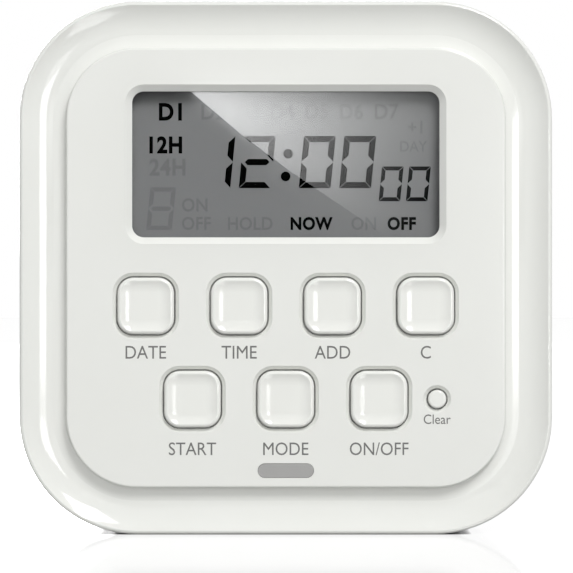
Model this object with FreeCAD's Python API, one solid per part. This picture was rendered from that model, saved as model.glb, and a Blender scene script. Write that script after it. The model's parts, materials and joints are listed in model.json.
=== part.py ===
import FreeCAD, Part
import os
from math import asin, atan, cos, pi, sin, sqrt

# A plug-in timer: a square moulded casing with a display window and eight buttons in front,
# a three-pin plug at the back and a three-hole socket in each side.
# Millimetres. X runs to the right, Y from the front to the back and Z up from the flat underside.
# Here Y is 0 at the crest of the rim; the last step moves all pieces so that 0 is mid-depth.

# Casing
body_size = 72.6          # width and height of the casing
body_corner = 16.0        # outer corner radius seen from the front
body_depth = 40.0         # crest of the rim to the back face
front_depth = 12.0        # crest of the rim to the parting line
wall = 2.0                # side and back walls
edge_round = 0.5          # outer edge of the rim
back_round = 2.5          # outer edge of the back
parting_gap = 0.3         # shadow line between the two covers
lip_wall = 0.9            # tongue of the rear cover inside the front cover
lip_height = 1.6
lip_gap = 0.1

# Dished rim and raised panel of the front cover
rim_band = 6.7            # side face to the flat panel
dish_place = 4.5          # lowest line of the dish, in from the side face
dish_depth = 1.3          # and its depth below the crest
rise_radius = 6.0         # gentle rise from the lowest line towards the panel
foot_round = 0.35         # inner corner at the foot of the panel
dish_wall = 1.6           # thickness under the dish
panel_proud = 0.4         # panel stands in front of the crest
panel_wall = 2.0
panel_round = 0.3

# Display
window_side = 15.35       # side face of the casing to the clear opening
window_height = 19.9
window_corner = 1.6
window_rise = 14.1        # its middle above the middle of the casing
window_bevel = 0.9        # sloped edge round the opening
window_bevel_depth = 0.8
window_edge = 0.1         # straight edge behind the slope
window_lap = 1.3          # clear plate behind the edge of the opening
window_fit = 0.05
lcd_lap = 1.2             # glass beyond the opening
lcd_ledge = 1.6           # contact edge of the glass, on top of that
lcd_thick = 2.8
lcd_gap = 0.6             # clear plate to glass
lcd_fit = 0.1
lcd_frame_wall = 1.3
lcd_frame_lip = 0.7       # lip in front of the edge of the glass
lcd_lip_thick = 0.4
zebra_width = 1.8         # rubber strip that joins glass and board

# Buttons: seven square keys in two rows and a small round one
key_pitch = 12.7
key_size = 7.7
key_corner = 2.15
key_gap = 0.2             # running gap all round
key_bevel = 0.48          # sloped edge round each opening
key_proud = 0.55          # crest of a key in front of the panel
key_dish = 0.35           # depth of its dished top
key_dish_edge = 1.9       # side of the key to the flat middle
key_round = 0.45
upper_row_drop = 5.18     # middles of the rows below the middle of the casing
lower_row_drop = 17.86
flange_out = 0.9          # flange behind the panel that keeps a key in
flange_thick = 0.8
flange_gap = 0.1
stem_radius = 1.5
reset_place = 20.6        # right of the middle, on the lower row
reset_radius = 1.25
reset_proud = 0.3
reset_round = 0.3
reset_bevel = 0.45
reset_flange = 0.7
key_travel = 0.4

# Press switches on the control board
switch_size = 6.0
switch_height = 3.5
switch_corner = 0.5
plunger_radius = 1.7
plunger_fit = 0.05
plunger_proud = 0.8       # plunger above the switch body at rest
plunger_depth = 1.1       # plunger inside the switch body
leg_width = 0.7
leg_reach = 1.0
leg_thick = 0.3
leg_spread = 4.5

# Indicator lens and lamp
lens_width = 7.56
lens_height = 1.88
lens_margin = 2.0         # its middle above the lower edge of the panel
lens_gap = 0.05
lens_flange = 0.8         # stop at each end, behind the panel
lens_pipe = 3.4           # light pipe behind the panel face
lamp_size = 2.8
lamp_gap = 0.3
lamp_height = 2.0

# Control board, parallel to the panel
board_gap = 6.4           # back of the panel to the board
board_thick = 1.6
board_side_gap = 3.3      # side wall to the board
board_end_gap = 4.3       # top and bottom walls to the board
board_corner_cut = 12.4
high_screw_in = 3.0       # upper screws in from the side edges
high_screw_rise = 14.0    # and above the middle of the casing
low_screw_x = 18.0        # lower screws from the middle
low_screw_up = 4.5        # and up from the lower edge
chip_size = 10.0
chip_thick = 1.4
chip_lead = 0.9
chip_lead_width = 0.5
chip_leads = 6            # leads on each side
chip_x = -12.0
chip_drop = 5.3           # below the middle of the casing
crystal_radius = 1.1
crystal_length = 6.2
cell_radius = 5.75
cell_thick = 5.35
cell_gap = 0.8            # above the upper shelf
tab_thick = 0.3
tab_width = 4.0
tab_gap = 0.25

# Power board, behind the control board at the bottom
power_gap = 4.4           # between the two boards
power_side_gap = 1.2      # screw tubes to the board
power_low_gap = 0.4       # bottom wall to the board
power_screw_in = 2.9      # screws in from the side edges
header_length = 15.2
header_width = 2.5
header_margin = 4.1       # middle of the header below the upper edge of the board
relay_width = 12.7
relay_height = 15.5
relay_depth = 15.3
film_width = 6.0
film_height = 13.0
film_depth = 12.0
can_radius = 3.15
can_length = 11.0
disc_radius = 3.1
disc_thick = 3.6
lead_radius = 0.35
foot_radius = 0.3         # where a lead turns down to its board
part_gap = 0.5            # between neighbours on the power board
part_margin = 0.6         # parts to the lower edge of the power board
diode_radius = 1.0
diode_length = 4.2
diode_pitch = 5.5
diode_count = 4
resistor_radius = 1.2
resistor_length = 6.0
resistor_pitch = 3.2
resistor_count = 1        # on each side of the diodes
lead_reach = 1.6          # lead beyond each end of a body

# Plug at the back
pin_pitch = 12.7          # blade to blade
ground_drop = 11.9        # ground pin below the blades
blade_rise = 5.2          # blades above the middle of the casing
blade_thick = 1.52
line_width = 6.35
neutral_width = 7.9
blade_length = 17.5       # from the plug face
blade_tip = 1.6           # length of the bevel at the tip
blade_tip_slope = 0.45    # and how far it comes in on each face
blade_hole = 1.6          # radius of the hole near the tip
blade_hole_back = 4.5     # tip to the middle of the hole
ground_radius = 2.4
ground_length = 20.6
ground_flat = 0.12        # radius of the flat left at its rounded tip
ground_root = 2.1         # radius of its thinner part inside the casing
ground_collar = 3.1
collar_thick = 1.2
pin_fit = 0.05
pad_width = 36.0
pad_height = 34.0
pad_corner = 6.0
pad_proud = 0.8
pad_round = 0.4
holder_thick = 4.0
holder_margin = 4.0       # block beside the blades
seat_gap = 0.3            # block to the shelves above and below
holder_corner = 1.3

# Sockets in the sides
face_width = 21.0
face_height = 23.0
face_corner = 3.0
face_recess = 0.3
face_flange = 1.1
face_flange_thick = 1.2
face_fit = 0.05
slot_gap = 0.25           # slot round a blade
slot_long = 0.4
ground_hole = 2.6
contact_z_height = 7.0
contact_length = 11.0
contact_mouth = 0.3       # behind the socket face
strip = 0.6               # contact metal
contact_flare = 1.1
flare_length = 2.2
leaf_root = 2.75          # straight part of a leaf at its root
clip_spread = 2.0         # clip from leaf to leaf at its root
link_height = 4.0
link_shift = 3.0          # links above or below the blades
ground_strip = 3.2
clip_slit = 1.2

# Cover over the contacts and the shelves that carry it
cover_plate = 1.2
cover_plate_gap = 3.4     # behind the control board
shelf_thick = 1.2
shelf_below = 4.6         # underside of the lower shelf below the ground pin
shelf_above = 6.5         # underside of the upper shelf above the blades
shelf_side_gap = 1.6      # shelves to the socket faces
ear_x = 16.0
ear_rise = 2.2            # screw above the upper shelf
ear_radius = 2.6

# Screws and their bosses
case_screw_in = 9.3       # in from the sides, both ways
case_shank = 1.45
case_head = 2.7
case_head_thick = 1.9
case_reach = 8.0          # thread inside the front boss
tube_floor = 3.0
tube_wall = 1.3
head_gap = 0.3
boss_radius = 3.0
small_shank = 1.1
small_head = 2.1
small_head_thick = 1.3
small_reach = 4.5
head_round = 0.4          # share of a head's thickness that is rounded
recess_reach = 0.6        # share of a head's radius that its cross covers
post_radius = 2.4
thread_fit = 0.03
recess_width = 0.7
recess_depth = 0.8

# Insulated wires inside
wire_radius = 0.9
wire_bend = 3.0
feed_x = -4.0             # wire from the relay to the live bar
return_x = -9.6           # wire from the neutral bar to the power board

# Places worked out from the sizes above
V = FreeCAD.Vector
tiny = 1e-6
past = 1.0                # how far a cut runs past what it cuts
diagonal = sqrt(0.5)
middle_z = body_size / 2
panel_front = -panel_proud
panel_back = panel_front + panel_wall
window_width = body_size - 2 * window_side
window_z = middle_z + window_rise
upper_row_z = middle_z - upper_row_drop
lower_row_z = middle_z - lower_row_drop
lens_z = rim_band + lens_margin
window_seat = panel_front + window_bevel_depth + window_edge
key_crest = panel_front - key_proud
board_front = panel_back + board_gap
board_back = board_front + board_thick
switch_front = board_front - switch_height
plunger_front = switch_front - plunger_proud
lcd_front = panel_back + lcd_gap
lcd_back = lcd_front + lcd_thick
lcd_width = window_width + 2 * lcd_lap
lcd_height = window_height + 2 * lcd_lap + lcd_ledge
board_width = body_size - 2 * (wall + board_side_gap)
board_height = body_size - 2 * (wall + board_end_gap)
high_screw_x = board_width / 2 - high_screw_in
high_screw_z = middle_z + high_screw_rise
low_screw_z = wall + board_end_gap + low_screw_up
chip_z = middle_z - chip_drop
power_front = board_back + power_gap
power_back = power_front + board_thick
inner_back = body_depth - wall
plug_face = body_depth + pad_proud
blade_z = middle_z + blade_rise
ground_z = blade_z - ground_drop
half_pitch = pin_pitch / 2
holder_front = inner_back - holder_thick
plate_front = board_back + cover_plate_gap
plate_back = plate_front + cover_plate
socket_y = (front_depth + inner_back) / 2
near_row_y = socket_y - half_pitch
far_row_y = socket_y + half_pitch
face_outer = body_size / 2 - face_recess
face_seat = body_size / 2 - wall
face_inner = face_seat - face_flange_thick
face_thick = face_outer - face_inner
contact_x = face_inner - contact_mouth
shelf_low = ground_z - shelf_below
shelf_high = blade_z + shelf_above
shelf_width = 2 * (face_inner - shelf_side_gap)
cell_z = shelf_high + shelf_thick + cell_gap + cell_radius
case_screw_x = body_size / 2 - case_screw_in
tube_radius = case_head + head_gap + tube_wall
power_width = 2 * (case_screw_x - tube_radius - power_side_gap)
power_low = wall + power_low_gap
power_top = shelf_low - seat_gap
power_screw_x = power_width / 2 - power_screw_in
power_screw_z = (power_low + power_top) / 2
header_z = power_top - header_margin
screw_seat = front_depth + tube_floor
neutral_link_z = blade_z - link_shift
live_link_z = blade_z + link_shift
wire_z = (power_top + relay_height + power_low + part_margin) / 2
object_middle_y = (key_crest + plug_face + ground_length) / 2

upper_keys = {
    "week_key": -1.5,
    "hour_key": -0.5,
    "minute_key": 0.5,
    "recall_key": 1.5,
}
lower_keys = {
    "clock_key": -1,
    "program_key": 0,
    "manual_key": 1,
}


def key_places():
    places = {}
    for name, step in upper_keys.items():
        places[name] = (step * key_pitch, upper_row_z)
    for name, step in lower_keys.items():
        places[name] = (step * key_pitch, lower_row_z)
    return places


# Simple solids

def block(x0, x1, y0, y1, z0, z1):
    return Part.makeBox(x1 - x0, y1 - y0, z1 - z0, V(x0, y0, z0))


def rod(radius, front, back, x, z):
    return Part.makeCylinder(radius, back - front, V(x, front, z), V(0, 1, 0))


def bar(radius, start, end):
    return Part.makeCylinder(radius, start.distanceToPoint(end), start, end - start)


def rounded_outline(width, height, corner, y, x=0.0, z=0.0):
    bends = []
    for step, (side_x, side_z) in enumerate(((1, 1), (-1, 1), (-1, -1), (1, -1))):
        bend = []
        for share in (0, 0.5, 1):
            angle = (step + share) * pi / 2
            across = x + side_x * (width / 2 - corner) + corner * cos(angle)
            up = z + side_z * (height / 2 - corner) + corner * sin(angle)
            bend.append(V(across, y, up))
        bends.append(bend)
    edges = []
    for step, bend in enumerate(bends):
        edges.append(Part.Arc(*bend).toShape())
        following = bends[(step + 1) % 4][0]
        if bend[2].distanceToPoint(following) > tiny:
            edges.append(Part.makeLine(bend[2], following))
    return Part.Wire(edges)


def rounded_block(width, height, corner, front, back, x=0.0, z=0.0):
    outline = rounded_outline(width, height, corner, front, x, z)
    return Part.Face(outline).extrude(V(0, back - front, 0))


def sloped_opening(width, height, corner, slope, front, back, x, z):
    wide = rounded_outline(width + 2 * slope, height + 2 * slope, corner + slope, front, x, z)
    narrow = rounded_outline(width, height, corner, back, x, z)
    return Part.makeLoft([wide, narrow], True, True)


def join(first, others):
    return first.fuse(others).removeSplitter()


def edges_at_depth(shape, y):
    found = []
    for edge in shape.Edges:
        box = edge.BoundBox
        if abs(box.YMin - y) < tiny * 100 and abs(box.YMax - y) < tiny * 100:
            found.append(edge)
    return found


# Framed squares: one section carried round a square with rounded corners

def at(inward, y):
    return V(-inward, y, 0)


def line(start, end):
    return Part.makeLine(start, end)


def quarter_round(start, end, centre, radius, side_inward, side_y):
    middle = centre + at(radius * diagonal * side_inward, radius * diagonal * side_y)
    return Part.Arc(start, middle, end).toShape()


def dish_curve(start_in, start_y, end_in, end_y):
    run = end_in - start_in
    drop = end_y - start_y
    radius = (run ** 2 + drop ** 2) / (2 * drop)
    half_turn = atan(drop / run)
    middle = at(end_in - radius * sin(half_turn), end_y - radius * (1 - cos(half_turn)))
    return Part.Arc(at(start_in, start_y), middle, at(end_in, end_y)).toShape()


def square_ring(size, corner, section):
    face = Part.Face(Part.Wire(section))
    straight = size - 2 * corner
    side = face.copy()
    side.translate(V(size / 2, 0, -straight / 2))
    bend = face.copy()
    bend.translate(V(size / 2, 0, straight / 2))
    pieces = [
        side.extrude(V(0, 0, straight)),
        bend.revolve(V(size / 2 - corner, 0, straight / 2), V(0, -1, 0), 90),
    ]
    ring = []
    for turn in range(4):
        for piece in pieces:
            turned = piece.copy()
            turned.rotate(V(0, 0, 0), V(0, 1, 0), 90 * turn)
            ring.append(turned)
    return ring


# Front cover

def foot_of_panel():
    # small round that runs from the gentle rise into the upright edge of the panel
    edge = rim_band - panel_round
    across = edge - foot_round - dish_place
    rise_centre_y = dish_depth - rise_radius
    centre_y = rise_centre_y + sqrt((rise_radius - foot_round) ** 2 - across ** 2)
    share = rise_radius / (rise_radius - foot_round)
    meet_in = dish_place + across * share
    meet_y = rise_centre_y + (centre_y - rise_centre_y) * share
    return edge, centre_y, meet_in, meet_y


def rise_curves():
    edge, centre_y, meet_in, meet_y = foot_of_panel()
    rise_centre_y = dish_depth - rise_radius
    half_turn = asin((meet_in - dish_place) / rise_radius) / 2
    rise_middle = at(dish_place + rise_radius * sin(half_turn), rise_centre_y + rise_radius * cos(half_turn))
    foot_turn = (asin((meet_in - dish_place) / rise_radius) + pi / 2) / 2
    foot_middle = at(edge - foot_round + foot_round * sin(foot_turn), centre_y + foot_round * cos(foot_turn))
    return [
        Part.Arc(at(dish_place, dish_depth), rise_middle, at(meet_in, meet_y)).toShape(),
        Part.Arc(at(meet_in, meet_y), foot_middle, at(edge, centre_y)).toShape(),
        line(at(edge, centre_y), at(edge, panel_front + panel_round)),
    ]


def cover_section(inner_edge):
    edge = rim_band - panel_round
    round_y = panel_front + panel_round
    dish_back = dish_depth + dish_wall
    fold = wall / 2
    skin = [
        line(at(0, front_depth), at(0, edge_round)),
        quarter_round(at(0, edge_round), at(edge_round, 0), at(edge_round, edge_round), edge_round, -1, -1),
        dish_curve(edge_round, 0, dish_place, dish_depth),
    ]
    skin += rise_curves()
    skin += [
        quarter_round(at(edge, round_y), at(rim_band, panel_front), at(rim_band, round_y), panel_round, -1, -1),
        line(at(rim_band, panel_front), at(inner_edge, panel_front)),
        line(at(inner_edge, panel_front), at(inner_edge, panel_back)),
    ]
    inside = [
        (inner_edge, panel_back), (rim_band + fold, panel_back), (rim_band - fold, dish_back),
        (wall + fold, dish_back), (wall, dish_back + fold), (wall, front_depth), (0, front_depth),
    ]
    for start, end in zip(inside, inside[1:]):
        skin.append(line(at(*start), at(*end)))
    return skin


def cover_shell():
    inner_edge = rim_band + wall
    ring = square_ring(body_size, body_corner, cover_section(inner_edge))
    panel_size = body_size - 2 * inner_edge
    panel = rounded_block(panel_size, panel_size, body_corner - inner_edge, panel_front, panel_back)
    shell = join(ring[0], ring[1:] + [panel])
    step = wall - lip_wall - lip_gap
    rebate = rounded_block(body_size - 2 * step, body_size - 2 * step, body_corner - step,
                           front_depth - lip_height - lip_gap, front_depth + past)
    shell = shell.cut(rebate)
    shell.translate(V(0, 0, middle_z))
    return shell


def window_cuts():
    outer_width = window_width + 2 * window_lap
    outer_height = window_height + 2 * window_lap
    slope = sloped_opening(window_width, window_height, window_corner, window_bevel,
                           panel_front, panel_front + window_bevel_depth, 0, window_z)
    opening = rounded_block(window_width, window_height, window_corner,
                            panel_front, panel_back + past, 0, window_z)
    pocket = rounded_block(outer_width + 2 * window_fit, outer_height + 2 * window_fit,
                           window_corner + window_fit, window_seat, panel_back + past, 0, window_z)
    return [slope, opening, pocket]


def key_cuts():
    cuts = []
    opening = key_size + 2 * key_gap
    corner = key_corner + key_gap
    for x, z in key_places().values():
        cuts.append(sloped_opening(opening, opening, corner, key_bevel,
                                   panel_front, panel_front + key_bevel, x, z))
        cuts.append(rounded_block(opening, opening, corner, panel_front, panel_back + past, x, z))
    return cuts


def reset_cuts():
    hole = reset_radius + key_gap
    slope = Part.makeCone(hole + reset_bevel, hole, reset_bevel,
                          V(reset_place, panel_front, lower_row_z), V(0, 1, 0))
    return [slope, rod(hole, panel_front, panel_back + past, reset_place, lower_row_z)]


def lens_cut():
    return rounded_block(lens_width + 2 * lens_gap, lens_height + 2 * lens_gap,
                         lens_height / 2 + lens_gap, panel_front - past, panel_back + past, 0, lens_z)


def case_screw_places():
    places = []
    for side_x in (-1, 1):
        for side_z in (-1, 1):
            places.append((side_x * case_screw_x, middle_z + side_z * case_screw_x))
    return places


def board_screw_places():
    places = []
    for side in (-1, 1):
        places.append((side * high_screw_x, high_screw_z))
        places.append((side * low_screw_x, low_screw_z))
    return places


def front_cover():
    cover = cover_shell()
    bosses = []
    holes = []
    for x, z in case_screw_places():
        bosses.append(rod(boss_radius, panel_back - tiny, front_depth, x, z))
        holes.append(rod(case_shank + thread_fit, front_depth - case_reach - head_gap, front_depth + past, x, z))
    for x, z in board_screw_places():
        bosses.append(rod(post_radius, panel_back - tiny, board_front, x, z))
        holes.append(rod(small_shank + thread_fit, board_front - small_reach - head_gap, board_front + past, x, z))
    cover = join(cover, bosses)
    return cover.cut(holes + window_cuts() + key_cuts() + reset_cuts() + [lens_cut()])


# Display

def display_window():
    width = window_width + 2 * window_lap
    height = window_height + 2 * window_lap
    return rounded_block(width, height, window_corner, window_seat, panel_back, 0, window_z)


def lcd_panel():
    glass = block(-lcd_width / 2, lcd_width / 2, lcd_front, lcd_back,
                  window_z - lcd_height / 2, window_z + lcd_height / 2)
    step = block(-lcd_width / 2 - past, lcd_width / 2 + past, lcd_front - past, lcd_front + lcd_thick / 2,
                 window_z - lcd_height / 2 - past, window_z - lcd_height / 2 + zebra_width)
    return glass.cut(step)


def lcd_frame():
    inner_width = lcd_width + 2 * lcd_fit
    inner_height = lcd_height + 2 * lcd_fit
    front = lcd_front - lcd_lip_thick - lcd_fit / 2
    frame = rounded_block(inner_width + 2 * lcd_frame_wall, inner_height + 2 * lcd_frame_wall,
                          lcd_frame_wall, front, board_front, 0, window_z)
    seat = block(-inner_width / 2, inner_width / 2, lcd_front - lcd_fit / 2, board_front + past,
                 window_z - inner_height / 2, window_z + inner_height / 2)
    view_width = lcd_width / 2 - lcd_frame_lip
    view_height = lcd_height / 2 - lcd_frame_lip
    view = block(-view_width, view_width, front - past, board_front,
                 window_z - view_height, window_z + view_height)
    return frame.cut([seat, view])


def zebra_strips():
    strips = []
    length = lcd_width / 2 - lcd_frame_lip
    outer = lcd_height / 2 - lcd_fit
    for side in (-1, 1):
        low = window_z + min(side * outer, side * (outer - zebra_width))
        strips.append(block(-length, length, lcd_back, board_front, low, low + zebra_width))
    return Part.makeCompound(strips)


# Buttons

def key_section(inner_edge):
    flat_y = key_crest + key_dish
    round_y = key_crest + key_round
    return [
        line(at(0, panel_back + flange_gap), at(0, round_y)),
        quarter_round(at(0, round_y), at(key_round, key_crest), at(key_round, round_y), key_round, -1, -1),
        dish_curve(key_round, key_crest, key_dish_edge, flat_y),
        line(at(key_dish_edge, flat_y), at(inner_edge, flat_y)),
        line(at(inner_edge, flat_y), at(inner_edge, panel_back + flange_gap)),
        line(at(inner_edge, panel_back + flange_gap), at(0, panel_back + flange_gap)),
    ]


def square_key(x, z):
    inner_edge = (key_dish_edge + key_corner) / 2
    ring = square_ring(key_size, key_corner, key_section(inner_edge))
    flange_front = panel_back + flange_gap
    flange_back = flange_front + flange_thick
    middle = key_size - 2 * inner_edge
    top = rounded_block(middle, middle, key_corner - inner_edge, key_crest + key_dish, flange_front)
    flange_size = key_size + 2 * flange_out
    flange = rounded_block(flange_size, flange_size, key_corner, flange_front, flange_back)
    stem = rod(stem_radius, flange_back, plunger_front, 0, 0)
    key = join(ring[0], ring[1:] + [top, flange, stem])
    key.translate(V(x, 0, z))
    return key


def reset_button():
    front = panel_front - reset_proud
    flange_front = panel_back + flange_gap
    cap = rod(reset_radius, front, flange_front, reset_place, lower_row_z)
    cap = cap.makeFillet(reset_round, edges_at_depth(cap, front))
    flange = rod(reset_radius + reset_flange, flange_front, flange_front + flange_thick,
                 reset_place, lower_row_z)
    stem = rod(reset_radius, flange_front + flange_thick, plunger_front, reset_place, lower_row_z)
    return join(cap, [flange, stem])


def plunger(x, z):
    return rod(plunger_radius, plunger_front, switch_front + plunger_depth, x, z)


def switch_body(x, z):
    half = switch_size / 2
    body = rounded_block(switch_size, switch_size, switch_corner, switch_front, board_front, x, z)
    legs = []
    for side in (-1, 1):
        for end in (-1, 1):
            leg_x = x + end * leg_spread / 2
            edge = z + side * half
            legs.append(block(leg_x - leg_width / 2, leg_x + leg_width / 2,
                              board_front - leg_thick, board_front,
                              min(edge, edge + side * leg_reach), max(edge, edge + side * leg_reach)))
    well_depth = plunger_depth + key_travel + leg_thick
    well = rod(plunger_radius + plunger_fit, switch_front - past, switch_front + well_depth, x, z)
    return join(body, legs).cut(well)


def switch_places():
    places = dict(key_places())
    places["reset_button"] = (reset_place, lower_row_z)
    return places


def switch_bodies():
    bodies = []
    for x, z in switch_places().values():
        bodies.append(switch_body(x, z))
    return Part.makeCompound(bodies)


# Indicator

def indicator_lens():
    lens = rounded_block(lens_width, lens_height, lens_height / 2, panel_front, panel_back, 0, lens_z)
    flange = rounded_block(lens_width + 2 * lens_flange, lens_height, lens_height / 2,
                           panel_back, panel_back + flange_thick, 0, lens_z)
    pipe = rounded_block(lens_width / 2, lens_height, lens_height / 2,
                         panel_back, panel_front + panel_wall + lens_pipe, 0, lens_z)
    return join(lens, [flange, pipe])


def indicator_lamp():
    front = panel_back + lens_pipe + lamp_gap
    dome = rod(lamp_size / 3, front, board_front - lamp_height / 2, 0, lens_z)
    base = rounded_block(lamp_size, lamp_size, lamp_size / 8,
                         board_front - lamp_height / 2, board_front, 0, lens_z)
    return join(base, [dome])


# Control board and what it carries

def control_board():
    half_w = board_width / 2
    half_h = board_height / 2
    cut = board_corner_cut
    points = [
        (half_w, half_h - cut), (half_w - cut, half_h), (cut - half_w, half_h), (-half_w, half_h - cut),
        (-half_w, cut - half_h), (cut - half_w, -half_h), (half_w - cut, -half_h), (half_w, cut - half_h),
    ]
    outline = [V(x, board_front, middle_z + z) for x, z in points]
    board = Part.Face(Part.makePolygon(outline + outline[:1])).extrude(V(0, board_thick, 0))
    holes = []
    for x, z in board_screw_places():
        holes.append(rod(small_shank + head_gap, board_front - past, board_back + past, x, z))
    return board.cut(holes)


def control_chip():
    half = chip_size / 2
    body = rounded_block(chip_size, chip_size, chip_lead_width, board_back + leg_thick / 2,
                         board_back + chip_thick, chip_x, chip_z)
    pitch = chip_size / (chip_leads + 1)
    leads = []
    for step in range(chip_leads):
        place = -half + (step + 1) * pitch - chip_lead_width / 2
        for side in (-1, 1):
            near = side * half
            far = side * (half + chip_lead)
            low, high = min(near, far), max(near, far)
            leads.append(block(chip_x + place, chip_x + place + chip_lead_width, board_back,
                               board_back + leg_thick, chip_z + low, chip_z + high))
            leads.append(block(chip_x + low, chip_x + high, board_back, board_back + leg_thick,
                               chip_z + place, chip_z + place + chip_lead_width))
    return join(body, leads)


def timing_crystal():
    x = chip_x - chip_size / 2 - chip_lead - crystal_radius - part_gap
    start = V(x, board_back + crystal_radius, chip_z - crystal_length / 2)
    end = V(x, board_back + crystal_radius, chip_z + crystal_length / 2)
    case = bar(crystal_radius, start, end)
    lead = bar(lead_radius, start - V(0, 0, lead_reach), start)
    foot_z = start.z - lead_reach + lead_radius
    foot = bar(foot_radius, V(x, board_back, foot_z), V(x, start.y, foot_z))
    return join(case, [lead, foot])


def backup_cell():
    front = board_back + tab_thick
    return rod(cell_radius, front, front + cell_thick, 0, cell_z)


def battery_tabs():
    half = tab_width / 2
    cell_back = board_back + tab_thick + cell_thick
    leg_x = cell_radius + tab_gap
    under = block(-leg_x, cell_radius / 2, board_back, board_back + tab_thick, cell_z - half, cell_z + half)
    over = block(-cell_radius / 2, leg_x, cell_back, cell_back + tab_thick, cell_z - half, cell_z + half)
    leg = block(leg_x, leg_x + tab_thick, board_back, cell_back + tab_thick, cell_z - half, cell_z + half)
    return Part.makeCompound([under, join(over, [leg])])


def board_header():
    return rounded_block(header_length, header_width, header_width / 5, board_back, power_front, 0, header_z)


# Power board and what it carries

def power_board():
    half = power_width / 2
    board = block(-half, half, power_front, power_back, power_low, power_top)
    holes = []
    for side in (-1, 1):
        holes.append(rod(small_shank + head_gap, power_front - past, power_back + past,
                         side * power_screw_x, power_screw_z))
    return board.cut(holes)


def power_row():
    # left edges of the parts along the board, from the screw on the left
    relay_x = post_radius + part_gap - power_screw_x
    film_x = relay_x + relay_width + part_gap
    return relay_x, film_x, film_x + film_width + part_gap


def relay():
    low = power_low + part_margin
    relay_x = power_row()[0]
    case = rounded_block(relay_width, relay_height, part_gap, power_back, power_back + relay_depth,
                         relay_x + relay_width / 2, low + relay_height / 2)
    return case.makeFillet(part_gap / 2, edges_at_depth(case, power_back + relay_depth))


def film_capacitor():
    low = power_low + part_margin
    film_x = power_row()[1]
    return rounded_block(film_width, film_height, part_gap, power_back, power_back + film_depth,
                         film_x + film_width / 2, low + film_height / 2)


def can_capacitor():
    x = power_row()[2] + can_radius
    z = power_low + part_margin + can_radius
    can = rod(can_radius, power_back, power_back + can_length, x, z)
    groove = rod(can_radius + past, power_back + part_margin, power_back + part_margin + part_gap, x, z)
    groove = groove.cut(rod(can_radius - part_gap / 2, power_back, power_back + can_length, x, z))
    return can.cut(groove)


def varistor():
    x = power_row()[2] + disc_radius
    low = power_low + part_margin + 2 * can_radius + part_gap
    high = low + disc_thick
    y = power_back + part_margin + disc_radius
    disc = bar(disc_radius, V(x, y, low), V(x, y, high))
    leads = []
    for side in (-1, 1):
        leads.append(rod(lead_radius, power_back, y, x + side * disc_radius / 2, (low + high) / 2))
    return join(disc, leads)


def axial_part(x, z, surface, side, radius, length):
    # a round body lying along Z, with leads that turn down to the board
    y = surface + side * radius
    reach = length / 2 + lead_reach
    body = bar(radius, V(x, y, z - length / 2), V(x, y, z + length / 2))
    lead = bar(lead_radius, V(x, y, z - reach), V(x, y, z + reach))
    feet = []
    for end in (-1, 1):
        foot_z = z + end * (reach - lead_radius)
        feet.append(bar(foot_radius, V(x, surface, foot_z), V(x, y, foot_z)))
    return join(body, [lead] + feet)


def diodes():
    z = power_low + part_margin + lead_reach + diode_length / 2
    group = []
    for step in range(diode_count):
        x = (step - (diode_count - 1) / 2) * diode_pitch
        group.append(axial_part(x, z, power_front, -1, diode_radius, diode_length))
    return Part.makeCompound(group)


def resistors():
    z = power_low + part_margin + lead_reach + resistor_length / 2
    start = (diode_count - 1) / 2 * diode_pitch
    group = []
    for step in range(resistor_count):
        for side in (-1, 1):
            x = side * (start + (step + 1) * resistor_pitch)
            group.append(axial_part(x, z, power_front, -1, resistor_radius, resistor_length))
    return Part.makeCompound(group)


# Plug pins and the block that holds them

def blade(x, width, inner_end):
    tip = plug_face + blade_length
    half_t = blade_thick / 2
    half_tip = half_t - blade_tip_slope
    low = blade_z - width / 2
    profile = [
        V(x - half_t, inner_end, low), V(x + half_t, inner_end, low),
        V(x + half_t, tip - blade_tip, low), V(x + half_tip, tip, low),
        V(x - half_tip, tip, low), V(x - half_t, tip - blade_tip, low),
    ]
    body = Part.Face(Part.makePolygon(profile + profile[:1])).extrude(V(0, 0, width))
    across = V(x - blade_thick, tip - blade_hole_back, blade_z)
    return body.cut(bar(blade_hole, across, across + V(2 * blade_thick, 0, 0)))


def line_blade():
    return blade(half_pitch, line_width, holder_front - 2 * wire_radius)


def neutral_blade():
    return blade(-half_pitch, neutral_width, far_row_y + strip / 2)


def ground_pin():
    tip = plug_face + ground_length
    pin = rod(ground_radius, plug_face, tip, 0, ground_z)
    pin = pin.makeFillet(ground_radius - ground_flat, edges_at_depth(pin, tip))
    root = rod(ground_root, socket_y + strip / 2, plug_face + tiny, 0, ground_z)
    collar = rod(ground_collar, holder_front - collar_thick, holder_front, 0, ground_z)
    return join(pin, [root, collar])


def pin_cuts(front, back, pin_radius):
    thick = blade_thick + 2 * pin_fit
    cuts = []
    for x, width in ((half_pitch, line_width), (-half_pitch, neutral_width)):
        half_w = width / 2 + pin_fit
        cuts.append(block(x - thick / 2, x + thick / 2, front, back, blade_z - half_w, blade_z + half_w))
    cuts.append(rod(pin_radius + pin_fit, front, back, 0, ground_z))
    return cuts


def blade_holder():
    low = shelf_low + shelf_thick + seat_gap
    high = shelf_high - seat_gap
    width = pin_pitch + 2 * holder_margin
    holder = rounded_block(width, high - low, holder_corner, holder_front, inner_back, 0, (low + high) / 2)
    return holder.cut(pin_cuts(holder_front - past, inner_back + past, ground_root))


# Sockets in the sides

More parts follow.
